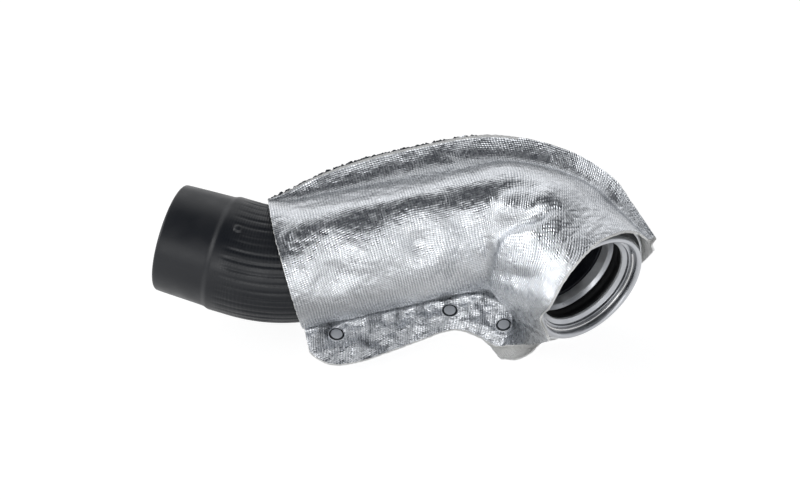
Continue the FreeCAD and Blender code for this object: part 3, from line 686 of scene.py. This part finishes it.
# Folds and dents of the front panel: places in millimetres in the part's frame, half width and height.
# A fold also has the share of its length over which each end fades.
FRONT_FOLDS = [
    ([(-64.5, 8.5, 73.5), (-45.0, 5.5, 73.5), (-22.0, 3.5, 74.5)], 6.5, 2.0, 0.3),
    ([(-66.1, 17.7, 75.3), (-35.0, 12.3, 77.0), (2.4, 6.7, 79.3), (30.5, 4.5, 79.5)], 7.0, 1.5, 0.2),
    ([(82.9, -23.4, 83.2), (65.2, -23.7, 79.0), (46.9, -13.7, 62.8)], 4.2, -4.0, 0.35),
    ([(38.5, -17.8, 40.7), (51.4, -38.0, 53.5), (65.1, -58.8, 65.7)], 4.5, -2.4, 0.35),
    ([(77.9, -11.1, 84.9), (66.7, -3.1, 83.4), (51.1, 0.5, 79.8)], 3.0, -0.9, 0.3),
    ([(30.5, 46.7, 72.8), (41.5, 41.6, 70.2), (52.1, 30.7, 72.0)], 2.6, 1.0, 0.3),
    ([(30.5, 25.5, 74.5), (45.2, 31.4, 71.6), (59.9, 33.1, 70.4)], 2.4, -0.8, 0.3),
]
FRONT_DENTS = [
    ((6.6, -10.9, 63.3), 9.0, -3.2),
    ((-40.2, -14.0, 56.7), 10.0, -3.0),
    ((57.6, -9.9, 77.6), 7.0, 2.2),
    ((31.8, -8.9, 67.4), 6.0, -1.2),
    ((-19.7, -12.6, 59.5), 8.0, 0.9),
]

# How far the threads fray along the seam, in millimetres, and where the seam's frayed and white stretches end
FRONT_FRINGE = [(0, 0.25), (3, 0.25)]
REAR_FRINGE = [(0, 1.3), (1.1, 1.3), (1.4, 0.25), (3, 0.25)]
FRAY_END, WHITE_END = 1.1, 1.4
FOIL, BARE_CLOTH, FRAYED_THREAD = 0, 1, 2


def near_line(points, line):
    """Each point's distance from a line of straight runs, and its place along the line from 0 to 1."""
    best = np.full(points.shape[:-1], 1e9)
    place = np.zeros(points.shape[:-1])
    line = [np.array(p) - BASE for p in line]
    for i, (a, b) in enumerate(zip(line, line[1:])):
        span = b - a
        t = np.clip((points - a) @ span / (span @ span), 0, 1)
        distance = np.linalg.norm(points - a - t[..., None] * span, axis=-1)
        closer = distance < best
        best = np.where(closer, distance, best)
        place = np.where(closer, (i + t) / (len(line) - 1), place)
    return best, place


def crumple(points, look):
    """How far the cloth stands off its smooth shape: soft waves and small foil creases."""
    height = 0.45 * soft_noise(points, 26.0) + 0.42 * soft_noise(points, 11.0, 1.0)
    creased = 1 - np.abs(soft_noise(points, 7.0, 2.0)) * 2.2
    return (height + 0.16 * creased + 0.10 * soft_noise(points, 3.6, 3.0)) * look.crumple


def panel_relief(sheet, flat, side, look, folds, dents):
    """How far a panel stands off its smooth shape: waves, billows off its flat borders, folds and dents."""
    waves_here = crumple(sheet, look)
    billow = 0.9 * soft_noise(sheet, 21.0, 4.0) + 1.1
    height = waves_here * flat * side + (waves_here + billow * look.crumple) * (1 - flat)
    for line, width, lift, taper in folds:
        distance, place = near_line(sheet, line)
        ends = np.clip(np.minimum(place, 1 - place) / taper, 0, 1)
        height += lift * ends * np.exp(-((distance / width) ** 2))
    for spot, width, lift in dents:
        distance = np.linalg.norm(sheet - (np.array(spot) - BASE), axis=2)
        height += lift * np.exp(-((distance / width) ** 2))
    return height


def rivet_seats(sheet):
    """Where the rivets leave the cloth free to crumple, and where their heads press it, both from 0 to 1."""
    free, pressed = np.ones(sheet.shape[:2]), np.zeros(sheet.shape[:2])
    for spot, out in rivet_axes():
        off = sheet - spot
        radial = np.linalg.norm(off - (off @ out)[..., None] * out, axis=2)
        near = np.abs(off @ out) < 6
        free *= 1 - near * (1 - smooth_step(radial, HEAD_D / 2, HEAD_D / 2 + 5))
        pressed += near * (1 - smooth_step(radial, HEAD_D / 2 + 0.7, HEAD_D / 2 + 2.2))
    return free, pressed


def unit_steps(points, axis):
    steps = np.gradient(points, axis=axis)
    return steps / np.linalg.norm(steps, axis=2, keepdims=True)


def run_lengths(points, axis):
    """How far each point of a sheet lies along it from the first row or column."""
    steps = np.linalg.norm(np.diff(points, axis=axis), axis=2)
    return np.insert(np.cumsum(steps, axis=axis), 0, 0, axis=axis)


def fray(layer, sheet, torn):
    """Roughens a layer's four cut edges, and tears its threads along the seam."""
    around, along = unit_steps(sheet, 1), unit_steps(sheet, 0)
    ragged = soft_noise(layer[:, :2], 1.3, 5.0) + 0.6 * soft_noise(layer[:, :2], 0.6, 6.0)
    layer[:, :2] -= around[:, :2] * ((torn[:, None] * (0.5 + ragged)) * (1.0, 0.5))[..., None]
    layer[:, -1] += around[:, -1] * (0.35 * soft_noise(layer[:, -1], 1.5, 7.0))[:, None]
    layer[0] -= along[0] * (0.4 * soft_noise(layer[0], 1.5, 8.0))[:, None]
    layer[-1] += along[-1] * (0.4 * soft_noise(layer[-1], 1.5, 9.0))[:, None]


def cloth_kinds(sheet, q, side, border):
    """Each face's material: outer side, inner side and cut edges. The seam shows white and frayed threads."""
    rows, columns = sheet.shape[:2]
    shown = np.full((rows - 1, columns - 1), FOIL)
    cut = np.full(border, BARE_CLOTH)
    if side > 0:
        shown[q[1:] < WHITE_END, 0] = BARE_CLOTH
        shown[-1] = BARE_CLOTH
    else:
        frayed = q[1:] + 0.4 * soft_noise(sheet[1:, 0], 3.0, 10.0) < FRAY_END
        shown[frayed, :2] = FRAYED_THREAD
        cut[-(rows - 1):] = np.where(frayed[::-1], FRAYED_THREAD, FOIL)
    return np.concatenate((shown.ravel(), np.maximum(shown, BARE_CLOTH).ravel(), cut))


def panel_mesh(name, section, side, look, folds, dents, fringe):
    """One panel of the shield, with both faces, its cut edges and its folds."""
    outer_net, inner_net = control_net(section, side)
    middle = (outer_net + inner_net) / 2
    rows, columns = look.cloth_rows, look.cloth_columns
    along, across = even_places(middle, rows, 0), even_places(middle, columns, 1)
    outer, inner = spline_surface(outer_net, along, across), spline_surface(inner_net, along, across)
    sheet = (outer + inner) / 2
    normals = cloth_normals(sheet)
    normals *= np.sign(np.einsum("abk,abk->ab", normals, outer - inner))[..., None]
    poles = greville(middle.shape[1])
    flat = 1 - smooth_step(across, poles[1] * 0.8, poles[3]) + smooth_step(across, poles[-6], poles[-4])
    free, pressed = rivet_seats(sheet)
    height = panel_relief(sheet, flat, side, look, folds, dents) * free
    q = np.interp(along, greville(len(STATIONS)), STATIONS)
    if side > 0:
        height[:, 0] += EDGE_CURL * (1 - smooth_step(q, 1.2, 1.5))
    moved = normals * height[..., None]
    outer = outer + moved - normals * (pressed * (PRESS + 0.08))[..., None]
    inner = inner + moved
    torn = np.array([at(fringe, place) for place in q])
    for layer in (outer, inner):
        fray(layer, sheet, torn)
    outer[..., 2] = np.maximum(outer[..., 2], -BASE[2])
    inner[..., 2] = np.maximum(inner[..., 2], CLOTH - BASE[2])
    uv = np.stack([run_lengths(sheet, 0), run_lengths(sheet, 1)], -1).reshape(-1, 2)
    count = rows * columns
    points = np.concatenate((outer.reshape(-1, 3), inner.reshape(-1, 3)))
    index = np.arange(count).reshape(rows, columns)
    border = np.concatenate((index[0, :-1], index[:-1, -1], index[-1, :0:-1], index[:0:-1, 0]))
    following = np.roll(border, -1)
    faces = np.concatenate((
        grid_faces(rows, columns),
        grid_faces(rows, columns, start=count, flip=True),
        np.stack([border, following, following + count, border + count], -1),
    ))
    if signed_volume(points, faces) < 0:
        faces = faces[:, ::-1]
    kinds = cloth_kinds(sheet, q, side, len(border))
    crimped = np.tile(smooth_step(across, (poles[-6] + poles[-5]) / 2, poles[-4]), 2 * rows)
    return woven_mesh(name, points, faces, np.concatenate((uv, uv)), 60, kinds, crimped)


# Stage: places and sizes in metres, the camera's aim in millimetres, lamps in watts
FLOOR_HALF, FLOOR_DROP = 4.0, 0.0004
SHADE_SHIFT, SHADE_STRETCH, SHADE_START, SHADE_END = (0.054, 0.11, 0.0), (0.6, 1.0, 0.0), 0.05, 0.14
CAMERA_AIM = (3.42, 10.63, 40.0)
LAMP_AIM = (0, 0, 0.05)
SOFTBOXES = [
    ("back_softbox", (0.25, 1.5, 0.75), (2.2, 0.7), 4),
    ("left_softbox", (-1.4, 0.4, 0.75), (0.9, 0.9), 7),
    ("front_softbox", (-0.6, -1.5, 0.85), (2.2, 0.6), 8),
]
# The walls' linear colours, by height from 0 at the horizon to 1 overhead
WALL_STOPS = [
    (0.0, (0.5, 0.51, 0.53)),
    (0.25, (0.95, 0.96, 0.97)),
    (0.55, (0.95, 0.96, 0.97)),
    (0.7, (0.09, 0.095, 0.105)),
]
BACK_WALL_LIFT = 0.46


def pale_paper(look):
    """White paper that keeps the part's shadow. Shiny surfaces show it shaded before the part's left end."""
    material = bpy.data.materials.new("pale_paper")
    material.use_nodes = True
    tree = material.node_tree
    tree.nodes.clear()
    path = add_node(tree, "ShaderNodeLightPath").outputs
    rays = {0: path["Is Camera Ray"], 1: path["Is Transmission Ray"]}
    direct = add_node(tree, "ShaderNodeMath", rays, operation="MAXIMUM").outputs[0]
    seen = add_node(tree, "ShaderNodeMath", {0: direct, 1: path["Is Glossy Ray"]}, operation="MAXIMUM")
    place = add_node(tree, "ShaderNodeTexCoord").outputs["Object"]
    spot = add_node(
        tree, "ShaderNodeMapping", {"Vector": place, "Location": SHADE_SHIFT, "Scale": SHADE_STRETCH})
    away = add_node(tree, "ShaderNodeVectorMath", {0: spot.outputs[0]}, operation="LENGTH")
    shade = add_node(tree, "ShaderNodeMapRange", {
        0: away.outputs["Value"], 1: SHADE_START, 2: SHADE_END, 3: look.mirrored_floor, 4: look.floor_glow})
    strength = add_node(tree, "ShaderNodeMix", {0: direct, 2: shade.outputs[0], 3: look.floor_glow})
    glow = add_node(tree, "ShaderNodeEmission", {"Color": (1, 1, 1, 1), "Strength": strength.outputs[0]})
    matt = add_node(tree, "ShaderNodeBsdfDiffuse", {"Color": (*look.floor_colour, 1)})
    faint = add_node(tree, "ShaderNodeBsdfDiffuse", {"Color": (*look.shadow_colour, 1)})
    lit = add_node(tree, "ShaderNodeAddShader", {0: faint.outputs[0], 1: glow.outputs[0]})
    mix = add_node(tree, "ShaderNodeMixShader", {0: seen.outputs[0], 1: matt.outputs[0], 2: lit.outputs[0]})
    add_node(tree, "ShaderNodeOutputMaterial", {"Surface": mix.outputs[0]})
    return material


def studio_walls():
    """Pale walls with uneven panels under a dark ceiling. The back wall reaches higher than the others."""
    world = bpy.data.worlds.new("studio")
    world.use_nodes = True
    tree = world.node_tree
    tree.nodes.clear()
    direction = add_node(tree, "ShaderNodeTexCoord").outputs["Generated"]
    facing = add_node(tree, "ShaderNodeSeparateXYZ", {0: direction}).outputs
    behind = add_node(tree, "ShaderNodeMath", {0: facing["Y"], 1: 0.0}, operation="MAXIMUM")
    links = {0: behind.outputs[0], 1: -BACK_WALL_LIFT, 2: facing["Z"]}
    height = add_node(tree, "ShaderNodeMath", links, operation="MULTIPLY_ADD")
    ramp = add_node(tree, "ShaderNodeValToRGB", {0: height.outputs[0]})
    ramp.color_ramp.interpolation = "EASE"
    elements = ramp.color_ramp.elements
    for place, _ in WALL_STOPS[1:-1]:
        elements.new(place)
    for element, (place, colour) in zip(elements, WALL_STOPS):
        element.position, element.color = place, (*colour, 1)
    panels = add_node(tree, "ShaderNodeTexNoise", {"Vector": direction, "Scale": 3.0, "Detail": 1.0})
    level = add_node(
        tree, "ShaderNodeMapRange", {0: panels.outputs["Fac"], 1: 0.36, 2: 0.54, 3: 0.5, 4: 1.1})
    sky = add_node(tree, "ShaderNodeBackground", {"Color": ramp.outputs[0], "Strength": level.outputs[0]})
    add_node(tree, "ShaderNodeOutputWorld", {"Surface": sky.outputs[0]})
    return world


# Settings

class HoseLook(bpy.types.PropertyGroup):
    rubber_colour: FloatVectorProperty(
        name="Rubber colour", description="Colour of the hose's rubber", subtype="COLOR", size=3,
        default=linear("#13161c"), min=0, max=1)
    rubber_roughness: FloatProperty(
        name="Rubber roughness", description="How matt the rubber is", subtype="FACTOR", default=0.4,
        min=0, max=1)
    wrap_pitch: FloatProperty(
        name="Wrap pitch", description="Spacing of the curing wrap's marks", unit="LENGTH", default=1.5 * MM)


class CouplingLook(bpy.types.PropertyGroup):
    socket_colour: FloatVectorProperty(
        name="Socket colour", description="Colour of the turned socket", subtype="COLOR", size=3,
        default=linear("#bcbec2"), min=0, max=1)
    crimp_colour: FloatVectorProperty(
        name="Crimp ring colour", description="Colour of the pressed ring", subtype="COLOR", size=3,
        default=linear("#d2d4d6"), min=0, max=1)
    wire_colour: FloatVectorProperty(
        name="Wire colour", description="Colour of the spring wire", subtype="COLOR", size=3,
        default=linear("#d6d6d6"), min=0, max=1)
    seal_colour: FloatVectorProperty(
        name="Seal colour", description="Colour of the seal's rubber", subtype="COLOR", size=3,
        default=linear("#141415"), min=0, max=1)
    socket_roughness: FloatProperty(
        name="Socket roughness", description="How dull the turned socket is", subtype="FACTOR", default=0.3,
        min=0, max=1)
    throat_roughness: FloatProperty(
        name="Throat roughness", description="How dull the socket's throat is", subtype="FACTOR", default=0.7,
        min=0, max=1)


class ShieldLook(bpy.types.PropertyGroup):
    foil_colour: FloatVectorProperty(
        name="Foil colour", description="Colour of the aluminium foil", subtype="COLOR", size=3,
        default=linear("#e9ebee"), min=0, max=1)
    fibre_colour: FloatVectorProperty(
        name="Fibre colour", description="Colour of the bare glass cloth", subtype="COLOR", size=3,
        default=linear("#f6f6f4"), min=0, max=1)
    # Painted shade: the frayed threads are dark grey for the shade behind the front panel's edge
    thread_shade_colour: FloatVectorProperty(
        name="Thread colour", description="Colour of the frayed threads along the seam", subtype="COLOR",
        size=3, default=linear("#3a3d42"), min=0, max=1)
    # Painted shade: a dark ring round each rivet's dome stands for the shadow in its groove
    groove_shade_colour: FloatVectorProperty(
        name="Groove colour", description="Colour of the tarnished groove round each rivet's dome",
        subtype="COLOR", size=3, default=linear("#4a4d52"), min=0, max=1)
    # Painted shade: the foil is tinted towards this colour in the valleys between the threads
    valley_shade_colour: FloatVectorProperty(
        name="Valley colour", description="Colour of the foil between the threads", subtype="COLOR", size=3,
        default=linear("#a9adb3"), min=0, max=1)
    foil_roughness: FloatProperty(
        name="Foil roughness", description="How dull the foil is", subtype="FACTOR", default=0.27,
        min=0, max=1)
    rib_pitch: FloatProperty(
        name="Rib pitch", description="Spacing of the heavy threads that run round the hose", unit="LENGTH",
        default=1.5 * MM)
    thread_pitch: FloatProperty(
        name="Thread pitch", description="Spacing of the light threads that run along the hose",
        unit="LENGTH", default=1.1 * MM)
    crimp_pitch: FloatProperty(
        name="Crimp pitch", description="Spacing of the crimp marks pressed along the flange", unit="LENGTH",
        default=1.6 * MM)
    crimp_depth: FloatProperty(
        name="Crimp depth", description="Depth of the crimp marks", unit="LENGTH", default=1.2 * MM)
    crumple: FloatProperty(
        name="Crumple", description="How much the foil is crumpled", subtype="FACTOR", default=1.0,
        min=0, max=2)
    cloth_rows: IntProperty(
        name="Rows", description="Rows of mesh along the cloth", default=230, min=40, max=400)
    cloth_columns: IntProperty(
        name="Columns", description="Columns of mesh round the cloth", default=150, min=40, max=300)


class StageLook(bpy.types.PropertyGroup):
    floor_colour: FloatVectorProperty(
        name="Floor colour", description="Colour of the pale floor", subtype="COLOR", size=3,
        default=linear("#f4f4f4"), min=0, max=1)
    floor_glow: FloatProperty(
        name="Floor glow", description="How brightly the lit floor shows", default=0.86, min=0, max=1)
    mirrored_floor: FloatProperty(
        name="Mirrored floor", description="How brightly the floor before the part shows in shiny surfaces",
        default=0.15, min=0, max=1)
    shadow_colour: FloatVectorProperty(
        name="Shadow colour", description="Colour that lets the part's shadow show on the lit floor",
        subtype="COLOR", size=3, default=linear("#959595"), min=0, max=1)
    camera_heading: FloatProperty(
        name="Camera heading", description="How far round the camera stands", subtype="ANGLE",
        default=math.radians(16.7))
    camera_height: FloatProperty(
        name="Camera height", description="How far above the horizon the camera stands", subtype="ANGLE",
        default=math.radians(45.0))
    camera_distance: FloatProperty(
        name="Camera distance", description="From the camera to the part's middle", unit="LENGTH",
        default=1.1)


# Operators

class HOSE_OT_rubber(bpy.types.Operator):
    """Makes the moulded rubber hose"""
    bl_idname = "turbo_hose.rubber"
    bl_label = "Rubber hose"

    def execute(self, context):
        material = moulded_rubber(context.scene.hose_look)
        piece("hose_moulding", hose_mesh(), [material], ["rubber_hose"])
        return {"FINISHED"}


class HOSE_OT_coupling(bpy.types.Operator):
    """Makes the coupling's socket, seal ring, retaining wire and crimp ring"""
    bl_idname = "turbo_hose.coupling"
    bl_label = "Quick coupling"

    def execute(self, context):
        look = context.scene.coupling_look
        back = -COUPLING_DIR
        roll = (LIP_R - MOUTH_R) / 2
        turns = [math.pi * i / 12 for i in range(13)]
        lip = [(MOUTH_R + roll * (1 - math.cos(a)), MOUTH_DEPTH * (1 - math.sin(a))) for a in turns]
        seal_start = RIDGE_DEPTH + RIDGE_WIDTH
        seal_end = seal_start + SEAL_WIDTH + 2 * SEAL_SIDE
        socket = lip + [
            (LIP_R, LIP_WIDTH - LIP_EDGE),
            (LIP_R - LIP_EDGE, LIP_WIDTH),
            (BARREL_R, LIP_WIDTH),
            (BARREL_R, BARREL_LENGTH),
            (THROAT_R, BARREL_LENGTH),
            (THROAT_R, CONE_DEPTH),
            ((SEAL_GROOVE_R + THROAT_R) / 2, seal_end),
            (SEAL_GROOVE_R, seal_end),
            (SEAL_GROOVE_R, seal_start),
            (THROAT_R, seal_start),
            (THROAT_R, RIDGE_DEPTH),
            (STEP_R, RIDGE_DEPTH - RIDGE_WIDTH),
            (STEP_R, WIRE_DEPTH + WIRE_R),
            (MOUTH_R + WIRE_R, WIRE_DEPTH + WIRE_R),
            (MOUTH_R + WIRE_R, WIRE_DEPTH - WIRE_R),
            (MOUTH_R, WIRE_DEPTH - WIRE_R),
        ]
        metal = turned_metal("turned_aluminium", look.socket_colour, look.socket_roughness, 0.25)
        # Painted light: the throat band takes the lighter crimp ring colour to brighten it where little light
        # reaches, and a rougher satin finish as well
        satin = turned_metal("satin_throat_painted_light", look.crimp_colour, look.throat_roughness, 0.25)
        throat = (THROAT_R - 0.2, THROAT_R + 0.2)
        turning = turned("socket_turning", socket, [(LIP_CENTRE, back)], groove=throat)
        piece("socket_turning", turning, [metal, satin], ["coupling_socket"])
        bead = SEAL_WIDTH / 4
        start = seal_start + SEAL_SIDE
        seal = [
            (SEAL_GROOVE_R, start),
            (SEAL_GROOVE_R, start + SEAL_WIDTH),
            (SEAL_BORE_R + bead / 3, start + SEAL_WIDTH),
            (SEAL_BORE_R, start + SEAL_WIDTH - bead / 2),
            (SEAL_BORE_R, start + SEAL_WIDTH - bead),
            (SEAL_BORE_R + bead / 4, start + SEAL_WIDTH / 2),
            (SEAL_BORE_R, start + bead),
            (SEAL_BORE_R, start + bead / 2),
            (SEAL_BORE_R + bead / 3, start),
        ]
        moulding = turned("seal_moulding", seal, [(LIP_CENTRE, back)], 0.5)
        piece("seal_moulding", moulding, [seal_rubber(look)], ["seal_ring"])
        end = CRIMP_START + CRIMP_WIDTH
        crimp = [
            (FLARE_R, CRIMP_START),
            (CRIMP_R, CRIMP_START),
            (CRIMP_R, CRIMP_START + 2 * CRIMP_BEAD),
            (CRIMP_R - CRIMP_BEAD / 2, CRIMP_START + 3 * CRIMP_BEAD),
            (CRIMP_R - CRIMP_BEAD / 2, end - 3 * CRIMP_BEAD),
            (CRIMP_R, end - 2 * CRIMP_BEAD),
            (CRIMP_R, end),
            (FLARE_R, end),
        ]
        pressed = turned_metal("pressed_aluminium", look.crimp_colour, 0.34, 0.5)
        pressing = turned("crimp_pressing", crimp, [(LIP_CENTRE, back)], 0.4)
        piece("crimp_pressing", pressing, [pressed], ["crimp_ring"])
        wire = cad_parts["retaining_wire"].data
        wire.materials.clear()
        wire.materials.append(drawn_steel(look))
        return {"FINISHED"}


class HOSE_OT_shield(bpy.types.Operator):
    """Makes the two panels of the heat shield"""
    bl_idname = "turbo_hose.shield"
    bl_label = "Heat shield"

    def execute(self, context):
        look = context.scene.shield_look
        # Loose glass threads along the seam, quite matt, painted dark grey for the shade they lie in
        frayed = plain_material("frayed_thread_painted_shade", look.thread_shade_colour, 0.0, 0.8)[0]
        materials = [foil_cloth(look), bare_glass_cloth(look), frayed]
        cloth = panel_mesh(
            "front_shield_cloth", front_section, 1, look, FRONT_FOLDS, FRONT_DENTS, FRONT_FRINGE)
        front = piece("front_shield_cloth", cloth, materials, ["front_shield_panel"])
        cloth = panel_mesh("rear_shield_cloth", rear_section, -1, look, [], [], REAR_FRINGE)
        rear = piece("rear_shield_cloth", cloth, materials, ["rear_shield_panel"])
        return {"FINISHED"}


class HOSE_OT_rivets(bpy.types.Operator):
    """Makes the rivets and washers of the shield's flange"""
    bl_idname = "turbo_hose.rivets"
    bl_label = "Rivets and washers"

    def execute(self, context):
        look = context.scene.shield_look
        metal = turned_metal("pressed_rivet_aluminium", look.foil_colour, 0.6, 0.6)
        # The darker metal in the groove round each dome is painted shade
        dull = turned_metal("painted_shade_rivet_groove", look.groove_shade_colour, 0.5, 0.6)
        grip = 2 * CLOTH + LAYER_GAP - 2 * PRESS
        hole = SHANK_D / 2 + HOLE_CLEARANCE
        head = [
            (0.01, HEAD_HEIGHT),
            (DOME_D / 4, HEAD_HEIGHT - 0.05),
            (DOME_D / 2, DOME_HEIGHT),
            (DOME_D / 2 + 0.3, RIM_HEIGHT - 0.15),
            (DOME_D / 2 + 0.7, RIM_HEIGHT - 0.15),
            (HEAD_D / 2 - 0.3, RIM_HEIGHT + 0.15),
            (HEAD_D / 2, RIM_HEIGHT),
            (HEAD_D / 2, 0.0),
            (SHANK_D / 2, 0.0),
            (SHANK_D / 2, -grip - WASHER),
            (TAIL_D / 2, -grip - WASHER),
            (TAIL_D / 2 - TAIL_HEIGHT / 2, -grip - WASHER - TAIL_HEIGHT),
            (0.01, -grip - WASHER - TAIL_HEIGHT),
        ]
        ring = [
            (hole, -grip),
            (WASHER_D / 2, -grip),
            (WASHER_D / 2, -grip - WASHER),
            (hole, -grip - WASHER),
        ]
        painted_shade_ring = (DOME_D / 2, HEAD_D / 2 - 0.35)
        rivets = turned("flange_rivets", head, rivet_axes(), 0.15, 48, painted_shade_ring)
        piece("flange_rivets", rivets, [metal, dull], ["shield_rivets"])
        washers = turned("flange_washers", ring, rivet_axes(), 0.12, 48)
        piece("flange_washers", washers, [metal], ["rivet_washers"])
        return {"FINISHED"}


class HOSE_OT_stage(bpy.types.Operator):
    """Makes the pale floor, the soft light and the camera"""
    bl_idname = "turbo_hose.stage"
    bl_label = "Stage"

    def execute(self, context):
        look = context.scene.stage_look
        scene = context.scene
        scene.view_settings.view_transform = "Standard"
        half = FLOOR_HALF
        mesh = bpy.data.meshes.new("pale_floor")
        corners = [(-half, -half, 0), (half, -half, 0), (half, half, 0), (-half, half, 0)]
        mesh.from_pydata(corners, [], [(0, 1, 2, 3)])
        mesh.materials.append(pale_paper(look))
        floor = bpy.data.objects.new("pale_floor", mesh)
        floor.location.z = -FLOOR_DROP
        scene.collection.objects.link(floor)
        ahead = Vector((math.sin(look.camera_heading), math.cos(look.camera_heading), 0))
        toward = Vector((0, 0, math.sin(look.camera_height))) - ahead * math.cos(look.camera_height)
        camera = bpy.data.objects.new("camera", bpy.data.cameras.new("camera"))
        camera.data.sensor_width = 36.0
        camera.data.lens = 90.0
        camera.data.clip_start, camera.data.clip_end = 0.05, 30.0
        camera.location = Vector(CAMERA_AIM) * MM + toward * look.camera_distance
        camera.rotation_euler = (-toward).to_track_quat("-Z", "Y").to_euler()
        scene.collection.objects.link(camera)
        scene.camera = camera
        for name, place, size, watts in SOFTBOXES:
            lamp = bpy.data.lights.new(name, "AREA")
            lamp.shape, lamp.size, lamp.size_y, lamp.energy = "RECTANGLE", size[0], size[1], watts
            box = bpy.data.objects.new(name, lamp)
            box.location = place
            box.rotation_euler = (Vector(LAMP_AIM) - Vector(place)).to_track_quat("-Z", "Y").to_euler()
            scene.collection.objects.link(box)
        scene.world = studio_walls()
        return {"FINISHED"}


class HOSE_PT_panel(bpy.types.Panel):
    bl_idname = "HOSE_PT_panel"
    bl_label = "Turbo hose"
    bl_space_type = "VIEW_3D"
    bl_region_type = "UI"
    bl_category = "Turbo hose"

    def draw(self, context):
        for operator in OPERATORS:
            self.layout.operator(operator.bl_idname)
        for name in LOOKS:
            look = getattr(context.scene, name)
            for key in look.__annotations__:
                self.layout.prop(look, key)


LOOKS = {
    "hose_look": HoseLook,
    "coupling_look": CouplingLook,
    "shield_look": ShieldLook,
    "stage_look": StageLook,
}
OPERATORS = [HOSE_OT_rubber, HOSE_OT_coupling, HOSE_OT_shield, HOSE_OT_rivets, HOSE_OT_stage]


def register():
    for item in [*LOOKS.values(), *OPERATORS, HOSE_PT_panel]:
        bpy.utils.register_class(item)
    for name, look in LOOKS.items():
        setattr(bpy.types.Scene, name, PointerProperty(type=look))


def unregister():
    for name in LOOKS:
        delattr(bpy.types.Scene, name)
    for item in [HOSE_PT_panel, *reversed(OPERATORS), *reversed(LOOKS.values())]:
        bpy.utils.unregister_class(item)


def main():
    register()
    bpy.ops.turbo_hose.rubber()
    bpy.ops.turbo_hose.coupling()
    bpy.ops.turbo_hose.shield()
    bpy.ops.turbo_hose.rivets()
    bpy.ops.turbo_hose.stage()


if __name__ == "__main__":
    main()
